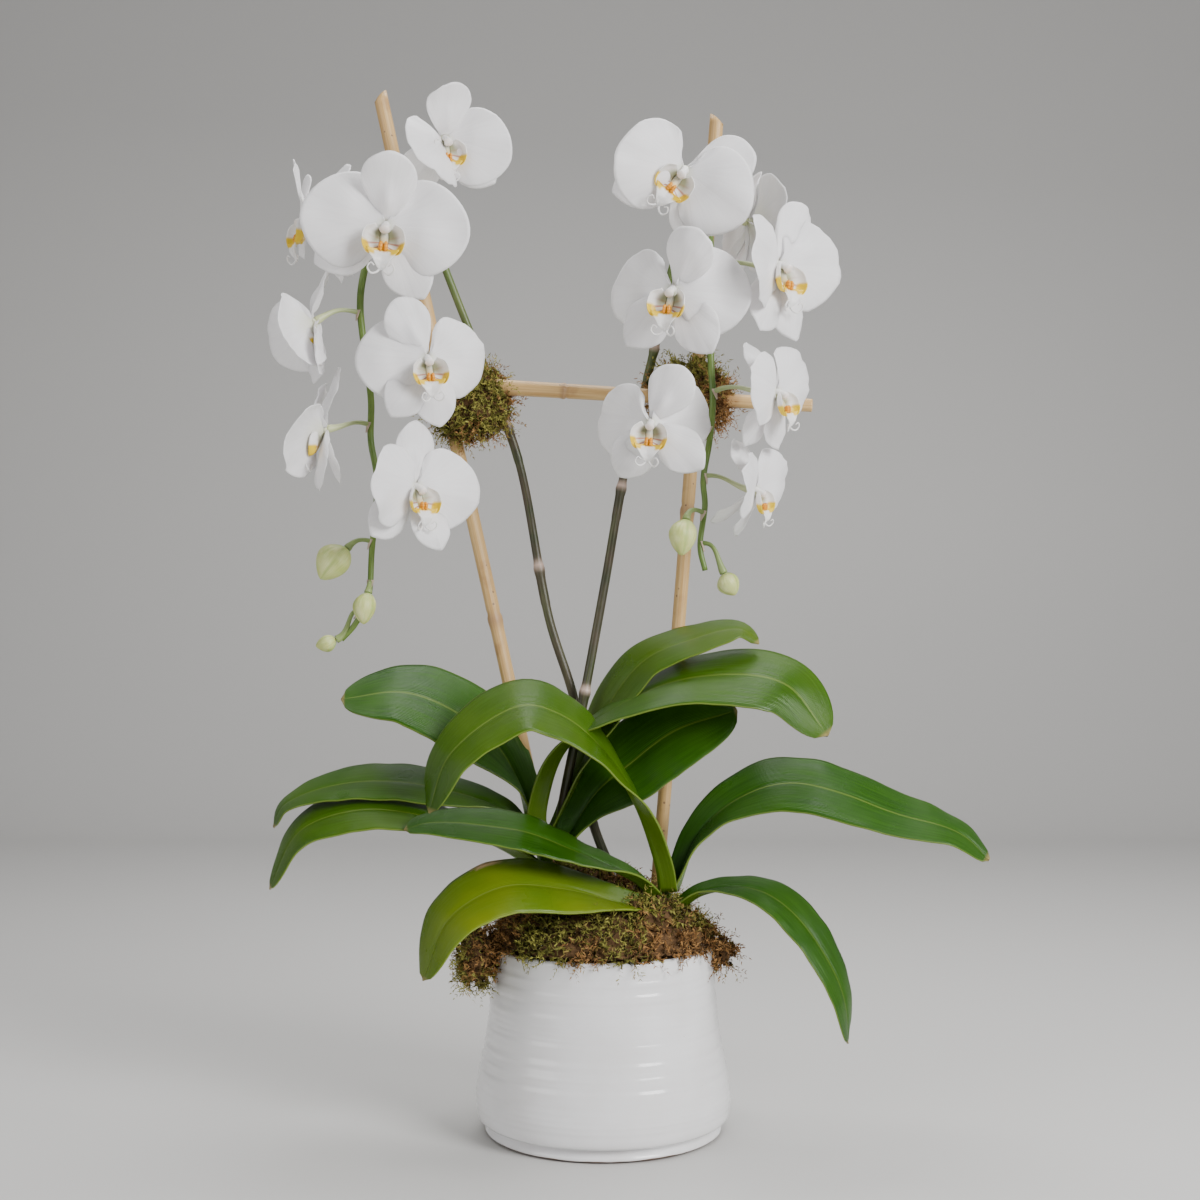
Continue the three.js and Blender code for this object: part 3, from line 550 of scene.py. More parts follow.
# ---- Leaves ----------------------------------------------------------------------------
# Thick, strap-shaped leaves, darker and shinier above than below. Each is folded like a
# gutter at its foot, opens out along its arch, and keeps a sunken rib and a pale margin.
def sheet(rows, columns, surface, thickness, marks_at):
    """A thin closed sheet: its upper face, its underside and the narrow edge between them."""
    grid = [[surface(i / rows, -1 + 2 * j / columns) for j in range(columns + 1)] for i in range(rows + 1)]
    uppers, lowers, marks = [], [], {}
    for i in range(rows + 1):
        for j in range(columns + 1):
            along_step = grid[min(i + 1, rows)][j] - grid[max(i - 1, 0)][j]
            across_step = grid[i][min(j + 1, columns)] - grid[i][max(j - 1, 0)]
            normal = along_step.cross(across_step).normalized()
            s, v = i / rows, -1 + 2 * j / columns
            half = thickness(s, v) / 2
            uppers.append(grid[i][j] + normal * half)
            lowers.append(grid[i][j] - normal * half)
            for key, value in marks_at(s, v).items():
                marks.setdefault(key, []).append(value)
    count, wide = len(uppers), columns + 1
    faces = []
    for i in range(rows):
        for j in range(columns):
            a = i * wide + j
            faces.append((a, a + wide, a + wide + 1, a + 1))
            faces.append((count + a, count + a + 1, count + a + wide + 1, count + a + wide))
    border = list(range(columns))
    border += [i * wide + columns for i in range(rows)]
    border += [rows * wide + j for j in range(columns, 0, -1)]
    border += [i * wide for i in range(rows, 0, -1)]
    for a, b in zip(border, border[1:] + border[:1]):
        faces.append((a, b, count + b, count + a))
    doubled = {key: values + values for key, values in marks.items()}
    doubled["face"] = [1.0] * count + [0.0] * count
    return uppers + lowers, faces, doubled


def leaf(spine, looks, width, fold=0.16, droop=0.10, gutter=0.75, age=0.0, wave=1.0, scar=None, seed=0):
    """A leaf along a spine in mm. looks are the ways its upper side faces, foot to tip."""
    rows, columns = 72, 20
    path = smooth_path(spine, rows + 1)
    facing = [Vector(look) for look in looks]
    frames = []
    for i in range(rows + 1):
        tangent = (path[min(i + 1, rows)] - path[max(i - 1, 0)]).normalized()
        sideways = spline(facing, i / rows).cross(tangent).normalized()
        frames.append((path[i], sideways, tangent.cross(sideways)))

    def surface(s, v):
        centre, sideways, up = frames[round(s * rows)]
        # The foot is narrow and folded, the middle opens out, and the tip is rounded.
        opening = min(1, s / 0.5)
        neck = 0.3 + 0.7 * opening ** 2 * (3 - 2 * opening)
        tip = sqrt(max(0, 1 - max(0, (s - 0.6) / 0.4) ** 2.2))
        half = width / 2 * neck * tip + 0.5
        open_share = min(1, s / 0.35)
        folded = gutter * (1 - open_share) ** 1.5
        lift = (folded + fold * (1 - 0.6 * s)) * abs(v) - droop * open_share * v * v
        ripple = wave * 1.3 * unevenness(s * 5, v * 0.6, seed * 7.3) * min(1, 4 * s)
        hem = wave * 0.9 * unevenness(s * 14, 2.0 * (v > 0), seed * 3.1) * v * v * min(1, 4 * s)
        groove = 0.9 * bell(v * half, 1.5) * max(0, 1 - s) ** 0.3
        across = sideways * half * v * (1 - 0.25 * folded)
        return (centre + across + up * (lift * half + ripple + hem - groove)) * MM

    def thickness(s, v):
        return ((2.2 - 1.0 * s) * (1 - 0.55 * v * v) + 0.25) * MM

    def marks_at(s, v):
        worn = 0.0
        if scar:
            worn = clamp(2.2 - 2 * (((s - scar[0]) / scar[1]) ** 2 + ((v - scar[2]) / 0.16) ** 2))
        yellow = age * clamp(0.55 + 0.6 * s + 0.3 * v)
        return {"along": s, "across": v, "age": yellow, "scar": worn}

    return sheet(rows, columns, surface, thickness, marks_at)


leaves = {
    "left_arching_right": leaf(
        [(-37, -6, 182), (-37, -10, 202), (-24, -13, 238), (8, -16, 264), (60, -22, 283), (112, -28, 279),
         (138, -32, 247)],
        [(-0.9, 0.3, 0.3), (-0.1, -0.3, 0.9), (0.3, -0.75, 0.6)], 66, fold=0.1, age=0.12, seed=1,
    ),
    "left_back_right": leaf(
        [(-28, 4, 186), (-4, 2, 250), (23, -3, 291), (55, -6, 306), (87, -8, 313), (98, -10, 304)],
        [(-0.8, -0.2, 0.5), (-0.2, -0.5, 0.8), (0.4, -0.4, 0.8)], 40, age=0.3, seed=2,
    ),
    "left_low_right": leaf(
        [(-26, -3, 172), (-8, -4, 205), (14, -5, 226), (48, -8, 250), (84, -12, 262)],
        [(-0.4, -0.7, 0.5), (-0.2, -0.8, 0.5), (0.1, -0.8, 0.5)], 54, seed=3,
    ),
    "left_upper": leaf(
        [(-46, 1, 186), (-54, 1, 216), (-76, -1, 248), (-122, -5, 272), (-165, -8, 269)],
        [(0.8, -0.3, 0.5), (0.2, -0.6, 0.7), (-0.2, -0.6, 0.8)], 62, seed=4,
    ),
    "left_middle": leaf(
        [(-46, -3, 174), (-62, -5, 198), (-100, -9, 212), (-159, -12, 217), (-200, -12, 203),
         (-206, -12, 189)],
        [(0.5, -0.2, 0.8), (0.1, -0.5, 0.9), (-0.6, -0.3, 0.8)], 42, age=0.1, seed=5,
    ),
    "left_lower": leaf(
        [(-42, -9, 160), (-54, -16, 172), (-101, -26, 194), (-144, -32, 202), (-184, -34, 190),
         (-204, -34, 154)],
        [(0.4, -0.1, 0.9), (0, -0.4, 0.9), (-0.8, -0.4, 0.5)], 46, age=0.15, seed=6,
    ),
    "right_arching_left": leaf(
        [(36, -17, 150), (34, -22, 166), (20, -32, 206), (-2, -40, 240), (-26, -47, 260), (-50, -52, 266),
         (-90, -62, 238), (-103, -66, 203)],
        [(0.85, 0.35, 0.4), (0.3, -0.2, 0.95), (-0.2, -0.6, 0.8), (-0.7, -0.5, 0.5)], 54, age=0.2, seed=7,
    ),
    "right_side": leaf(
        [(46, -10, 150), (60, -14, 184), (84, -19, 208), (116, -24, 217), (171, -29, 202), (219, -33, 186),
         (236, -35, 172)],
        [(-0.5, -0.5, 0.7), (0, -0.6, 0.8), (0.2, -0.4, 0.9)], 50, wave=2.0, seed=8,
    ),
    "right_long_left": leaf(
        [(30, -16, 146), (20, -24, 158), (-2, -34, 170), (-51, -46, 190), (-104, -54, 196), (-119, -56, 192)],
        [(0.3, -0.1, 0.9), (0.1, -0.4, 0.9), (-0.3, -0.4, 0.8)], 40, seed=9,
    ),
    "right_front": leaf(
        [(36, -20, 136), (18, -32, 142), (-26, -50, 156), (-62, -62, 158), (-90, -72, 142), (-105, -77, 107)],
        [(0.1, -0.5, 0.9), (0, -0.5, 0.8), (-0.8, -0.5, 0.3)], 50, age=0.8, scar=(0.60, 0.045, -1.0), seed=10,
    ),
    "right_low": leaf(
        [(46, -15, 138), (62, -22, 150), (98, -38, 152), (124, -50, 130), (142, -56, 94), (145, -57, 66)],
        [(-0.2, -0.3, 0.9), (0.2, -0.4, 0.9), (0.9, -0.4, 0.2)], 36, seed=11,
    ),
}
for name, parts in leaves.items():
    build_piece("strap_" + name, [parts], leaf_green, "leaf", "leaf_" + name)


# ---- Moss --------------------------------------------------------------------------------
# Dried sheet moss heaped over the bark and pressed round both cane crossings. A felted bed
# carries thousands of curled sprigs with small side shoots, rust brown and olive in patches.
# Shade deep in the moss is painted: the bed under the sprigs and the roots of the sprigs are coloured dark,
# their tips light.
def felted_bed(node, sink, roughen, cuts):
    """The moss node's own surface, cut finer, roughened and sunk under the sprigs."""
    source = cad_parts[node].data
    made = bmesh.new()
    made.from_mesh(source)
    every_way = {"use_axis_x": True, "use_axis_y": True, "use_axis_z": True}
    bmesh.ops.remove_doubles(made, verts=made.verts, dist=1e-5)
    bmesh.ops.triangulate(made, faces=made.faces)
    for _ in range(cuts):
        long_edges = [edge for edge in made.edges if edge.calc_length() > 5 * MM]
        bmesh.ops.subdivide_edges(made, edges=long_edges, cuts=1)
        bmesh.ops.triangulate(made, faces=made.faces)
    for _ in range(3):
        bmesh.ops.smooth_vert(made, verts=made.verts, factor=0.5, **every_way)
    made.normal_update()
    moves = []
    for vertex in made.verts:
        rough_share = noise.noise(vertex.co * 160) + 0.5 * noise.noise(vertex.co * 420)
        moves.append(vertex.normal * (roughen * rough_share - sink))
    for vertex, move in zip(made.verts, moves):
        vertex.co += move
    made.verts.index_update()
    points = [vertex.co.copy() for vertex in made.verts]
    faces = [tuple(vertex.index for vertex in face.verts) for face in made.faces]
    made.free()
    # The bed is painted in full shade.
    return points, faces, {"fresh": [0.25] * len(points), "painted_light": [0.0] * len(points)}


def sprigs(node, count, length, seed, keep, rusty):
    """Curled moss sprigs spread evenly over a node's surface, each with side shoots."""
    draw = random.Random(seed)
    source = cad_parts[node].data
    source.calc_loop_triangles()
    corners, areas, normals = [], [], []
    for triangle in source.loop_triangles:
        a, b, c = (source.vertices[i].co for i in triangle.vertices)
        corners.append((a, b, c))
        normals.append((b - a).cross(c - a).normalized())
        areas.append((b - a).cross(c - a).length)

    def any_way():
        return Vector((draw.gauss(0, 1), draw.gauss(0, 1), draw.gauss(0, 1)))

    points, faces, fresh, painted_light = [], [], [], []
    chosen = draw.choices(range(len(corners)), weights=areas, k=count * 3)
    made, steps = 0, 6
    for index in chosen:
        if made == count:
            break
        u, v = draw.random(), draw.random()
        if u + v > 1:
            u, v = 1 - u, 1 - v
        a, b, c = corners[index]
        foot = a + (b - a) * u + (c - a) * v
        normal = normals[index]
        if not keep(foot, normal):
            continue
        made += 1
        patch = noise.noise(foot * 30 + Vector((seed, 0, 0))) * 1.6 + draw.gauss(0, 0.25)
        hue = clamp(0.5 + patch - rusty(foot))
        bright = draw.random()
        sideways = any_way()
        heading = (normal * draw.uniform(0.25, 1.1) + sideways * 0.62).normalized()
        curl = any_way() * draw.uniform(0.15, 0.5)
        reach = length * draw.uniform(0.5, 1.35) * MM
        at = foot - normal * 2.2 * MM
        start = len(points)
        for i in range(steps + 1):
            t = i / steps
            side = heading.orthogonal().normalized()
            other = heading.cross(side)
            radius = (0.50 - 0.28 * t) * MM
            for k in range(3):
                turn = 2 * pi * k / 3
                points.append(at + side * cos(turn) * radius + other * sin(turn) * radius)
                fresh.append(hue)
                # Painted shade: a sprig is darker towards its root, by a random amount.
                painted_light.append(0.25 + 0.75 * t * (0.6 + 0.4 * bright))
            if i < steps:
                for k in range(3):
                    p, q = start + 3 * i + k, start + 3 * i + (k + 1) % 3
                    faces.append((p, q, q + 3, p + 3))
            if 0 < i:
                for _ in range(2):
                    out = (side * draw.gauss(0, 1) + other * draw.gauss(0, 1) + heading * 0.8).normalized()
                    shoot = draw.uniform(2.0, 4.6) * (1.1 - 0.5 * t) * MM
                    wide = out.cross(heading).normalized() * 0.34 * MM
                    bend = heading * 0.6 * MM
                    first = len(points)
                    points.extend([at - wide, at + wide])
                    points.extend([at + out * shoot * 0.6 + wide * 0.7, at + out * shoot + bend])
                    fresh.extend([hue] * 4)
                    # The side shoots take the same painted shade, lighter towards their tips.
                    painted_light.extend([0.4 + 0.6 * t * bright] * 2 + [0.6 + 0.4 * bright] * 2)
                    faces.append((first, first + 1, first + 2, first + 3))
            heading = (heading + curl + Vector((0, 0, -0.10)) + sideways * 0.05).normalized()
            at = at + heading * reach / steps
    return points, faces, {"fresh": fresh, "painted_light": painted_light}


moss, tree, shader = new_material("dry_moss", Roughness=0.92)
grain = clouds(240.0, 3.0)
rust = mixed(ramp(grain, 0.35, 0.7), (0.24, 0.110, 0.030), (0.47, 0.255, 0.085))
olive = mixed(ramp(grain, 0.35, 0.7), (0.17, 0.16, 0.025), (0.38, 0.36, 0.07))
tone = mixed(ramp(mark("fresh"), 0.35, 0.65), rust, olive)
# Painted shade: the sprigs darken towards their roots, and the bed under them is dark.
tone = mixed(ramp(mark("painted_light"), 0.0, 0.75, 0.80, 0.0), tone, (0.045, 0.022, 0.009))
finish_material(tone, grain, 0.0008, 0.8)


def on_heap(point, normal):
    """Leaves out what the pot hides."""
    return not (hypot(point.x, point.y) < 69 * MM and (point.z < pot_height or normal.z < 0))


def heap_rust(point):
    """Where the heap has gone brown: its right half and its ragged rim."""
    at_rim = point.z < pot_height + 8 * MM
    return 0.25 * tanh((point.x - 8 * MM) / (30 * MM)) + (0.25 if at_rim else 0.0)


heap_bed = felted_bed("moss_top", 2.5 * MM, 3 * MM, 4)
heap_sprigs = sprigs("moss_top", 2800, 12, 5, on_heap, heap_rust)
build_piece("moss_heap", [heap_bed, heap_sprigs], moss, "moss", "moss_top")
for side, seed, brown in (("left", 11, 0.05), ("right", 12, 0.35)):
    node = "moss_wrap_" + side
    bed = felted_bed(node, 3 * MM, 2.5 * MM, 3)
    tufts = sprigs(node, 1100, 13, seed, lambda point, normal: True, lambda point, brown=brown: brown)
    build_piece("moss_tuft_" + side, [bed, tufts], moss, "moss", node)


# ---- Flower spikes -----------------------------------------------------------------------
# One round stem per plant, dark and purplish low down and fresh green where it hangs over.
# Papery rings mark its joints, and a pale stalk with a small bract leads to each flower.
stem_green, tree, shader = new_material("stem_green", Roughness=0.42, Coat_Weight=0.15, Coat_Roughness=0.3)
cloud = clouds(70.0, 4.0)
fibre = fibres(6.0, 30.0)
old = mixed(ramp(cloud, 0.35, 0.65), (0.035, 0.040, 0.014), (0.075, 0.055, 0.032))
young = mixed(ramp(cloud, 0.35, 0.65), (0.085, 0.160, 0.020), (0.150, 0.240, 0.035))
stem = mixed(mark("youth"), old, young)
stem = mixed(times(ramp(fibre, 0.5, 0.7), 0.35), stem, (0.20, 0.26, 0.09))
stem = mixed(mark("pale"), stem, (0.62, 0.66, 0.36))
stem = mixed(mark("paper"), stem, (0.62, 0.46, 0.38))
finish_material(stem, fibre, 0.0002, 0.6)


def bract(at, axis, away, length, girth):
    """A small dry scale at the foot of a stalk, clasping the stem."""
    side = axis.cross(away).normalized()

    def surface(s, v):
        turn = v * 1.25 * (1 - 0.6 * s)
        reach = girth * (1 + 0.5 * s) * (1 - 0.15 * s)
        narrow = 1 - s ** 1.6
        round_stem = away * cos(turn) + side * sin(turn) * (0.35 + 0.65 * narrow)
        return at + round_stem * reach + axis * length * s

    return sheet(
        8, 8, surface, lambda s, v: 0.35 * MM,
        lambda s, v: {"paper": 0.75, "youth": 0.6, "along": s * length, "around": v},
    )


def stalked_spike(route, radii, joints, stub, young_from, ends):
    """The stem along its route, and a stalk to each end (point, way it arrives, paleness)."""
    rows, sides = 320, 18
    stalk_rows, stalk_sides = 28, 12
    path = [point * MM for point in smooth_path(route, rows + 1)]

    def radius(t, turn):
        swell = sum(0.8 * MM * bell(t - joint, 0.0045) for joint in joints)
        near = [joint for joint in joints if abs(t - joint) < 0.03]
        step = sum(0.25 * MM / (1 + exp((t - joint) / 0.0012)) for joint in near)
        return radii[0] + (radii[1] - radii[0]) * t ** 1.3 + swell + step

    def stalk_radius(t, turn):
        return (1.9 - 0.8 * sin(pi * min(1, t * 1.1)) ** 0.5 + 0.6 * t) * MM

    points, faces, marks = tube(path, radius, sides)
    youth, paper = [], []
    for i in range(len(points)):
        t = (i // sides) / rows
        youth.append(clamp((t - young_from) / 0.22))
        paper.append(max(bell(t - joint - 0.003, 0.0035) for joint in joints))
    marks.update({"youth": youth, "paper": paper, "pale": [0.0] * len(points)})
    parts = [(points, faces, marks)]
    hanging = range(rows // 2, int(rows * stub))
    for end, arrives, bloom in ends:
        goal = end + Vector((0, 0, 6 * MM))
        nearest = min(hanging, key=lambda i: (path[i] - goal).length)
        root = path[nearest]
        axis = (path[min(nearest + 1, rows)] - path[nearest - 1]).normalized()
        gap = (end - root).length
        away = (end - root) - axis * (end - root).dot(axis)
        away = away.normalized() if away.length > 1e-6 else axis.orthogonal().normalized()
        handle = root + away * gap * 0.45 + Vector((0, 0, 0.10 * gap))
        near = end - arrives * gap * 0.45
        line = []
        for i in range(stalk_rows + 1):
            t = i / stalk_rows
            bow = handle * 3 * t * (1 - t) ** 2 + near * 3 * t * t * (1 - t)
            line.append(root * (1 - t) ** 3 + bow + end * t ** 3)
        stalk_points, stalk_faces, stalk_marks = tube(line, stalk_radius, stalk_sides)
        reached = [(i // stalk_sides) / stalk_rows for i in range(len(stalk_points))]
        stalk_marks["youth"] = [1.0] * len(stalk_points)
        stalk_marks["pale"] = [bloom * (0.25 + 0.75 * t) for t in reached]
        stalk_marks["paper"] = [0.0] * len(stalk_points)
        parts.append((stalk_points, stalk_faces, stalk_marks))
        girth = radius(nearest / rows, 0) + 0.4 * MM
        parts.append(bract(root - axis * 1.5 * MM, axis, away, 6.5 * MM, girth))
    return parts


def flower_axes(turn, tip, roll):
    """Which way a flower's right, top and face point."""
    a, b, c = radians(turn), radians(tip), radians(roll)
    out = Vector((sin(a) * cos(b), -cos(a) * cos(b), sin(b)))
    level_up = Vector((-sin(a) * sin(b), cos(a) * sin(b), cos(b)))
    up = Matrix.Rotation(-c, 3, out) @ level_up
    return up.cross(out), up, out


# How far a column stands in front of its flower's middle and a stalk ends behind it, in mm.
column_stand_off = 3.6
stalk_set_back = 2


def flower_heart(name, out, size):
    """The middle of a flower: the foot of its modelled column, less the column's stand-off."""
    corners = [vertex.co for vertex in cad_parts[name + "_lip"].data.vertices]
    lowest = min(point.dot(out) for point in corners)
    foot = {tuple(round(c, 6) for c in p) for p in corners if p.dot(out) < lowest + 0.05 * MM}
    return sum((Vector(p) for p in foot), Vector()) / len(foot) - out * column_stand_off * size * MM


# Each flower: how far it turns to the right, tips up and rolls clockwise, its size, and the
# direction and forward lean of its top sepal, right and left sepal, right and left petal.
flowers = {
    "flower_left_1": (25, -12, 0, 0.86, (-8, 38), (122, 0), (212, -30), (104, 30), (222, 46)),
    "flower_left_2": (6, -8, 5, 1, (0, 28), (146, 0), (238, -10), (90, 2), (270, 2)),
    "flower_left_3": (-64, -5, 0, 0.92, (10, -40), (160, -30), (205, -30), (72, 25), (285, -10)),
    "flower_left_4": (-75, -35, 0, 0.82, (0, -55), (148, 30), (212, 30), (100, 40), (265, 40)),
    "flower_left_5": (16, -8, -5, 0.85, (-26, 5), (172, 0), (216, 0), (94, -28), (268, -10)),
    "flower_left_6": (-70, -8, 10, 0.82, (0, -20), (158, 15), (205, -15), (120, 48), (280, -20)),
    "flower_left_7": (44, -5, -2, 0.85, (4, -5), (160, 18), (224, -5), (96, 12), (266, 18)),
    "flower_right_1": (-4, -18, 40, 0.95, (40, -5), (128, 0), (216, 0), (90, 6), (238, 26)),
    "flower_right_2": (112, -5, 0, 0.86, (20, 10), (148, 0), (212, 0), (82, 0), (272, 0)),
    "flower_right_3": (42, -5, 0, 0.98, (28, 0), (163, 8), (205, 8), (85, 8), (262, 25)),
    "flower_right_4": (-22, -8, 8, 0.93, (27, 25), (142, 0), (219, 0), (94, -20), (256, -20)),
    "flower_right_5": (-5, -8, 5, 0.86, (27, 18), (126, 0), (208, -25), (72, -38), (256, -42)),
    "flower_right_6": (52, -5, -10, 0.77, (0, -35), (160, -10), (198, -30), (75, 0), (275, 13)),
    "flower_right_7": (58, -10, -10, 0.72, (0, -30), (165, -25), (192, -50), (78, 5), (280, 15)),
}
# Each bud: the middle of its foot in mm, the way it points, its length and its width.
buds = {
    "bud_left_1": ((-155, -52, 361), (-0.6, -0.25, -0.75), 25, 20),
    "bud_left_2": ((-142, -53, 334), (-0.1, -0.3, -1), 20, 13.5),
    "bud_left_3": ((-162, -47, 306), (-1, -0.1, -0.35), 13, 10),
    "bud_right_1": ((50, -58, 378), (-0.15, -0.25, -1), 23, 16.5),
    "bud_right_2": ((73, -51, 346), (0.45, -0.1, -0.9), 15, 13.5),
}
spike_routes = {
    "left": [
        (25, -2, 128), (13, 0, 146), (-5, 8, 185), (-15, 13, 226), (-18, 15, 265), (-35, 14, 321),
        (-54, 13, 420), (-70, 12.5, 466), (-89, 6, 513), (-100, 0, 541), (-112, -8, 573), (-126, -22, 585),
        (-139, -37, 570), (-146, -45, 536), (-149, -46, 512), (-142, -46, 452), (-142, -46, 428),
        (-138, -46, 403), (-141, -46, 359), (-143, -46, 332), (-151, -46, 315), (-159, -46, 306),
    ],
    "right": [
        (-29, 3, 168), (-26, 3, 200), (-13, 4, 266), (1, 6, 342), (14, 9, 416), (25, 12, 462), (34, 5, 498),
        (44, -2, 544), (55, -13, 575), (63, -28, 572), (67, -40, 540), (66, -45, 477), (67, -46, 452),
        (65, -46, 428), (61, -46, 403), (62, -46, 388), (59, -46, 362), (62, -46, 348),
    ],
}
spike_joints = {"left": (0.03, 0.115, 0.30, 0.42), "right": (0.16, 0.36, 0.50)}
for side, route in spike_routes.items():
    ends = []
    for name, (turn, tip, roll, size, *_) in flowers.items():
        if side in name:
            out = flower_axes(turn, tip, roll)[2]
            ends.append((flower_heart(name, out, size) - out * stalk_set_back * size * MM, out, 1.0))
    for name, (foot, points, length, width) in buds.items():
        if side in name:
            ends.append((Vector(foot) * MM, Vector(points).normalized(), 0.25))
    spike = stalked_spike(route, (3.1 * MM, 1.7 * MM), spike_joints[side], 0.98, 0.42, ends)
    build_piece("stem_" + side, spike, stem_green, "stem", "flower_spike_" + side)


# ---- Flowers -----------------------------------------------------------------------------
# Fourteen white moth-orchid blooms. Three oval sepals lie behind two broad petals; veins fan
# out from the narrow green-tinged foot of each, and the margins ripple a little.
petal_white, tree, shader = new_material("petal_white", Roughness=0.52, Subsurface_Weight=0.35)
shader.inputs["Subsurface Radius"].default_value = (1.0, 0.95, 0.9)
shader.inputs["Subsurface Scale"].default_value = 0.003
shader.inputs["Sheen Weight"].default_value = 0.15
along, face = mark("along"), mark("face")
vein = fibres(22.0, 1.2, "across")
cloud = clouds(60.0, 3.0)
white = mixed(ramp(vein, 0.3, 0.7), (0.84, 0.815, 0.83), (0.90, 0.885, 0.89))
white = mixed(ramp(cloud, 0.4, 0.7, 0.0, 0.3), white, (0.85, 0.82, 0.84))
white = mixed(ramp(along, 0.0, 0.16, 0.5, 0.0), white, (0.66, 0.70, 0.36))
behind = mixed(ramp(along, 0.1, 0.6, 0.5, 0.0), white, (0.66, 0.68, 0.42))
behind = mixed(times(mark("blush"), 0.45), behind, (0.66, 0.42, 0.50))
white = mixed(face, behind, white)
finish_material(white, vein, 0.0004, 0.3)

# Outlines run from one side of the claw round to the other: outward and sideways in mm.
petal_edge = [
    (1, -3), (3, -7), (8, -16), (16, -24), (27, -26.5), (38, -21), (46, -12), (50, -1),
    (48, 10), (41, 20), (31, 27.5), (18, 30), (8, 26), (3.6, 19), (2.6, 11), (1, 3),
]
half_sepal = [(1, 2.5), (6, 4.5), (12, 9), (20, 14), (28, 16.5), (36, 15), (42, 10.5), (46, 3)]
top_sepal_edge = [(a, -b) for a, b in half_sepal] + half_sepal[::-1]
side_sepal_edge = [
    (1, -2.5), (6, -5.5), (12, -10), (20, -14), (28, -16), (35, -14.5), (42, -9.5), (47, -2.5), (47.5, 1),
    (42, 8.5), (35, 13), (28, 15), (20, 13.5), (12, 9.5), (6, 5), (1, 2.5),
]
claw_end = 3.5
blade_rows, blade_columns = 24, 40


def tepal(edge, bearing, lean, level, keel, ripple, seed, mirrored=False):
    """A petal or sepal in the flower's own mm, leaning forward about the end of its claw."""
    rim_points = [Vector(p) for p in edge]
    if mirrored:
        rim_points = [Vector((a, -b)) for a, b in reversed(edge)]
    turn, tilt = radians(90 - bearing), radians(lean)
    outward = Vector((cos(turn), sin(turn), 0))
    sideways = Vector((-sin(turn), cos(turn), 0))

    def surface(s, v):
        tip = spline(rim_points, (v + 1) / 2)
        foot = Vector((0, 2.4 * v))
        bend = Vector((0.42 * tip.x + 3.5, 0.48 * tip.y))
        a, b = foot * (1 - s) ** 2 + bend * 2 * s * (1 - s) + tip * s * s
        reach = hypot(a, b)
        inner = min(1, reach / 22)
        # A blade is cupped, keeled and uneven, and its margin turns back and ripples.
        rise = 4.2 * sin(pi * min(1, reach / 40) * 0.5) * (1 - 0.35 * s)
        rise -= 0.0042 * b * b * min(1, a / 14)
        rise += keel * bell(b, 4.2) * sin(pi * clamp((a - 2) / 30)) ** 2
        rise += 3.4 * unevenness(a * 0.045, b * 0.045, seed * 5.7) * inner
        rise -= 3.0 * s ** 5 * (0.5 + 0.8 * unevenness(v * 2.2, seed, 1))
        rise += ripple * s ** 4 * unevenness(v * 6, seed * 2.3, 4)
        rise += 0.45 * ripple * s ** 8 * unevenness(v * 16, seed * 3.3, 9)
        leant = Matrix.Rotation(tilt, 2) @ Vector((a - claw_end, rise))
        return outward * (claw_end + leant.x) + sideways * b + Vector((0, 0, level + leant.y))

    def marks_at(s, v):
        blush = bell(v, 0.12) * s * (1 - s) * 2 if level < 0 else 0.0
        return {"along": s, "across": v, "blush": blush}

    return sheet(blade_rows, blade_columns, surface, lambda s, v: 0.95 - 0.65 * s, marks_at)


def placed(parts, axes, heart, size):
    """Parts in a flower's own mm, moved to where the flower is."""
    right, up, out = axes
    moved = []
    for points, faces, marks in parts:
        there = [heart + (right * p.x + up * p.y + out * p.z) * size * MM for p in points]
        moved.append((there, faces, marks))
    return moved


def lump(centre, radii, rows, sides, shape=lambda t, turn: 1.0, **marks):
    """A closed rounded body about a centre."""
    points = [centre + Vector((0, radii[1], 0))]
    for i in range(1, rows):
        t = i / rows
        for j in range(sides):
            turn = 2 * pi * j / sides
            grow = shape(t, turn) * sin(pi * t)
            way = Vector((grow * cos(turn), cos(pi * t), grow * sin(turn)))
            points.append(centre + way * Vector(radii))
    points.append(centre - Vector((0, radii[1], 0)))
    return points, pole_faces(rows - 1, sides), {key: [value] * len(points) for key, value in marks.items()}


# The lip is cupped white tissue with yellow margins, an orange ridged pad and two tendrils.
lip_white, tree, shader = new_material("lip_white", Roughness=0.42, Subsurface_Weight=0.3)
shader.inputs["Subsurface Radius"].default_value = (1.0, 0.9, 0.8)
shader.inputs["Subsurface Scale"].default_value = 0.002
cloud = clouds(300.0, 2.0)
tissue = mixed(ramp(cloud, 0.35, 0.7), (0.84, 0.82, 0.80), (0.90, 0.88, 0.85))
# Painted shade: the throat under the column, the feet of the side lobes and the underside of the column are
# coloured dark olive over the green tissue there.
tissue = mixed(mark("throat"), tissue, (0.20, 0.21, 0.06))
tissue = mixed(ramp(mark("yellow"), 0.25, 0.6), tissue, (0.84, 0.56, 0.010))
tissue = mixed(mark("orange"), tissue, (0.80, 0.33, 0.008))
tissue = mixed(mark("blush"), tissue, (0.85, 0.62, 0.52))
bands = ramp(maths("SINE", times(mark("across"), 30.0)), 0.2, 0.9)
bands = times(times(bands, mark("stripe")), 0.8)
tissue = mixed(bands, tissue, (0.36, 0.07, 0.02))
finish_material(tissue, cloud, 0.0002, 0.5)


def smoothstep(low, high, value):
    t = clamp((value - low) / (high - low))
    return t * t * (3 - 2 * t)


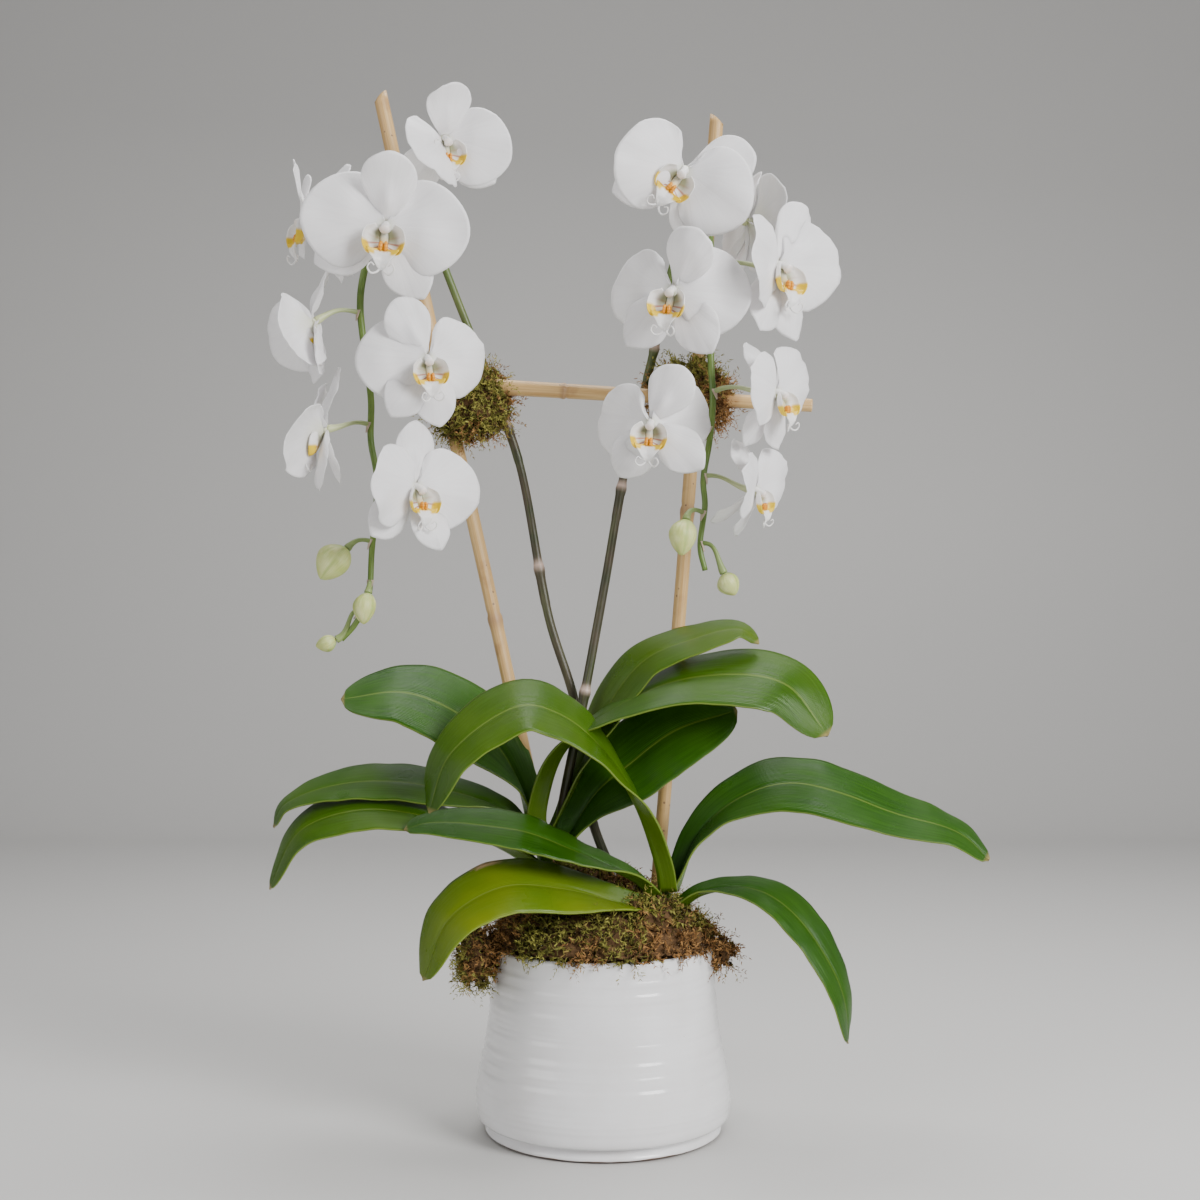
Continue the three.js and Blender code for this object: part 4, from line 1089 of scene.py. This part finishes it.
def lip_parts(seed):
    """Side lobes, pad, tongue with tendrils, and the column over them, in the flower's mm."""
    parts = []
    roots, bellies, margins = (
        [Vector(p) for p in line] for line in (
            ((1.4, -15, 10), (2.6, -10.5, 6.5), (2.4, -4.5, 4.2)),
            ((4, -18, 10), (10, -17, 8.5), (12, -11, 6.5), (10, -4, 5.2), (5, -0.8, 5)),
            ((4.4, -17.6, 12.6), (9.6, -17, 14.4), (12.4, -10.6, 14.6), (11, -3, 12.4), (5.6, 0.6, 7.6)),
        )
    )
    for hand in (-1, 1):

        def surface(s, v, hand=hand):
            w = (v + 1) / 2 if hand > 0 else (1 - v) / 2
            root, belly, margin = spline(roots, w), spline(bellies, w), spline(margins, w)
            point = root * (1 - s) ** 2 + belly * 2 * s * (1 - s) + margin * s * s
            ruffle = 0.5 * s ** 3 * unevenness(w * 6, seed * 3.7, hand)
            return Vector((hand * (point.x + ruffle), point.y + ruffle, point.z))

        def marks_at(s, v, hand=hand):
            w = (v + 1) / 2 if hand > 0 else (1 - v) / 2
            low = smoothstep(0.66, 0.38, w) * smoothstep(0.22, 0.62, s)
            # The feet of the side lobes carry painted shade where they meet the throat.
            return {
                "yellow": low, "stripe": smoothstep(0.75, 0.3, s) * smoothstep(0.8, 0.4, w), "across": w,
                "throat": 0.85 * smoothstep(0.6, 0.15, s) * smoothstep(0.25, 0.7, w),
            }

        parts.append(sheet(14, 16, surface, lambda s, v: 0.8 - 0.35 * s, marks_at))

    widths = [2.6, 4.2, 9.6, 7.4, 5.6, 4.6, 3.6, 2.4, 1.0]

    def tongue(s, v):
        half = spline([Vector((w, 0)) for w in widths], s).x
        wing = bell(s - 0.26, 0.10)
        lift = 2.6 * wing * v * v + 1.8 * (1 - wing) * abs(v) ** 1.5 * sin(pi * min(1, s * 1.1))
        rise = 9.6 + 3.6 * sin(2.5 * s) + lift + 0.4 * unevenness(s * 5, v * 2, seed)
        return Vector((half * v, -13.6 - 13.4 * s + 2.6 * wing * abs(v) ** 2, rise))

    def tongue_marks(s, v):
        wing = bell(s - 0.25, 0.13) * smoothstep(0.30, 0.75, abs(v))
        return {
            "yellow": max(wing, 0.7 * smoothstep(0.35, 0.1, s)), "stripe": 0.8 * smoothstep(0.3, 0.1, s),
            "across": v * 0.8, "orange": 0.5 * smoothstep(0.16, 0.0, s),
        }

    parts.append(sheet(20, 18, tongue, lambda s, v: 0.9 - 0.4 * s, tongue_marks))
    for hand in (-1, 1):
        bump = lump(
            Vector((1.45 * hand, -13.0, 11.0)), (1.35, 3.2, 2.0), 12, 14,
            lambda t, turn: 1 + 0.14 * sin(5 * turn + 9 * t), orange=1.0, stripe=0.55,
        )
        bump[2]["across"] = [p.y * 0.12 for p in bump[0]]
        parts.append(bump)
        curl = [
            (0.5 * hand, -24.6, 11.4), (2.2 * hand, -28.0, 12.4), (5.6 * hand, -29.2, 14.2),
            (7.8 * hand, -26.2, 16), (6.0 * hand, -23.4, 16.4), (4.0 * hand, -24.8, 15.2),
        ]
        parts.append(tube(smooth_path(curl, 26), lambda t, turn: 0.8 - 0.45 * t, 8))
    neck_rows, neck_sides, gutter_rows, gutter_sides = 26, 18, 14, 12
    neck = smooth_path([(0, 0.6, 0.5), (0, -0.2, 4.5), (0, -1.8, 8), (0, -4.0, 10.6)], neck_rows + 1)

    def girth(t, turn):
        body = 2.8 - 0.5 * sin(pi * t) + 0.6 * smoothstep(0.5, 0.85, t)
        return max(0.05, body * sqrt(max(0, 1 - max(0, (t - 0.8) / 0.2) ** 2)))

    points, faces, marks = tube(neck, girth, neck_sides)
    marks["blush"], marks["throat"] = [], []
    for i, point in enumerate(points):
        row = i // neck_sides
        # Painted shade on the column's underside, over the stigma's hollow.
        under = smoothstep(-0.5, -2.2, point.y - neck[row].y)
        marks["blush"].append(0.25 * smoothstep(0.72, 0.9, row / neck_rows))
        marks["throat"].append(0.6 * under * smoothstep(0.85, 0.6, row / neck_rows))
    parts.append((points, faces, marks))
    foot = smooth_path([(0, -1.5, 1.5), (0, -6, 4.2), (0, -10.5, 6.2), (0, -15, 9.6)], gutter_rows + 1)
    gutter = tube(foot, lambda t, turn: 2.3 + 0.5 * t, gutter_sides)
    reached = [(i // gutter_sides) / gutter_rows for i in range(len(gutter[0]))]
    # The foot of the lip is painted in shade, darkest under the column, and turns yellow towards the pad.
    gutter[2]["throat"] = [0.85 * (1 - t) for t in reached]
    gutter[2]["yellow"] = [0.6 * t for t in reached]
    parts.append(gutter)
    return parts


# Outline, height above the flower's plane, keel, edge ripple and hand of the five, in order.
tepal_kinds = (
    (top_sepal_edge, -1.3, 2.8, 1.6, False),
    (side_sepal_edge, -1.3, 0.5, 1.6, False), (side_sepal_edge, -1.3, 0.5, 1.6, True),
    (petal_edge, 1.3, 0, 3.4, False), (petal_edge, 1.3, 0, 3.4, True),
)
for number, (name, (turn, tip, roll, size, *poses)) in enumerate(flowers.items()):
    axes = flower_axes(turn, tip, roll)
    heart = flower_heart(name, axes[2], size)
    blades = [lump(Vector((0, 0, -0.4)), (3.6, 3.6, 2.6), 10, 14, along=0.0, face=0.0)]
    for kind, (bearing, lean) in enumerate(poses):
        edge, level, keel, ripple, mirrored = tepal_kinds[kind]
        blades.append(tepal(edge, bearing, lean, level, keel, ripple, number + 0.1 * kind, mirrored))
    bloom = placed(blades, axes, heart, size)
    build_piece(name.replace("flower", "bloom"), bloom, petal_white, "petal", name + "_petals")
    lip = placed(lip_parts(number), axes, heart, size)
    build_piece(name.replace("flower", "lip"), lip, lip_white, "lip", name + "_lip")


# ---- Buds --------------------------------------------------------------------------------
# Unopened flowers at the tip of each spike. Three sepals close over each one and meet in
# raised seams, green at the foot and paler at the shoulders.
bud_green, tree, shader = new_material("bud_green", Roughness=0.45, Subsurface_Weight=0.15)
shader.inputs["Subsurface Scale"].default_value = 0.002
cloud = clouds(90.0, 3.0)
fibre = fibres(14.0, 3.0)
skin = mixed(ramp(cloud, 0.35, 0.7), (0.50, 0.56, 0.17), (0.68, 0.70, 0.34))
skin = mixed(ramp(fibre, 0.45, 0.7, 0.0, 0.5), skin, (0.33, 0.42, 0.09))
skin = mixed(times(mark("seam"), 0.65), skin, (0.27, 0.38, 0.07))
skin = mixed(ramp(mark("along"), 0.0, 0.25, 0.6, 0.0), skin, (0.30, 0.42, 0.08))
finish_material(skin, fibre, 0.0003, 0.6)


def bud(foot, points, length, width, seed):
    rows, sides = 34, 36
    axis = Vector(points).normalized()
    side = axis.orthogonal().normalized()
    other = axis.cross(side)
    body, seam, alongs, arounds = [], [], [], []
    for i in range(rows + 1):
        t = i / rows
        swell = sin(pi * t ** 0.86) ** 0.62 * (0.92 + 0.12 * sin(2.6 * t + 0.3))
        for j in range(sides):
            turn = 2 * pi * j / sides
            ridge = abs(cos(1.5 * turn + seed + 0.35 * t))
            crease = bell(ridge, 0.16)
            radius = width / 2 * max(0.02, swell) * (0.93 + 0.07 * ridge ** 0.5 - 0.05 * crease)
            bow = side * 0.07 * length * sin(pi * t)
            out = (side * cos(turn) + other * sin(turn)) * radius
            body.append((Vector(foot) + axis * length * t + bow + out) * MM)
            seam.append(crease)
            alongs.append(t)
            arounds.append(cos(turn))
    return body, ring_faces(rows, sides), {"seam": seam, "along": alongs, "around": arounds}


for seed, (name, (foot, points, length, width)) in enumerate(buds.items()):
    closed = bud(foot, points, length, width, seed)
    build_piece(name.replace("bud", "closed_bud"), [closed], bud_green, "bud", name)
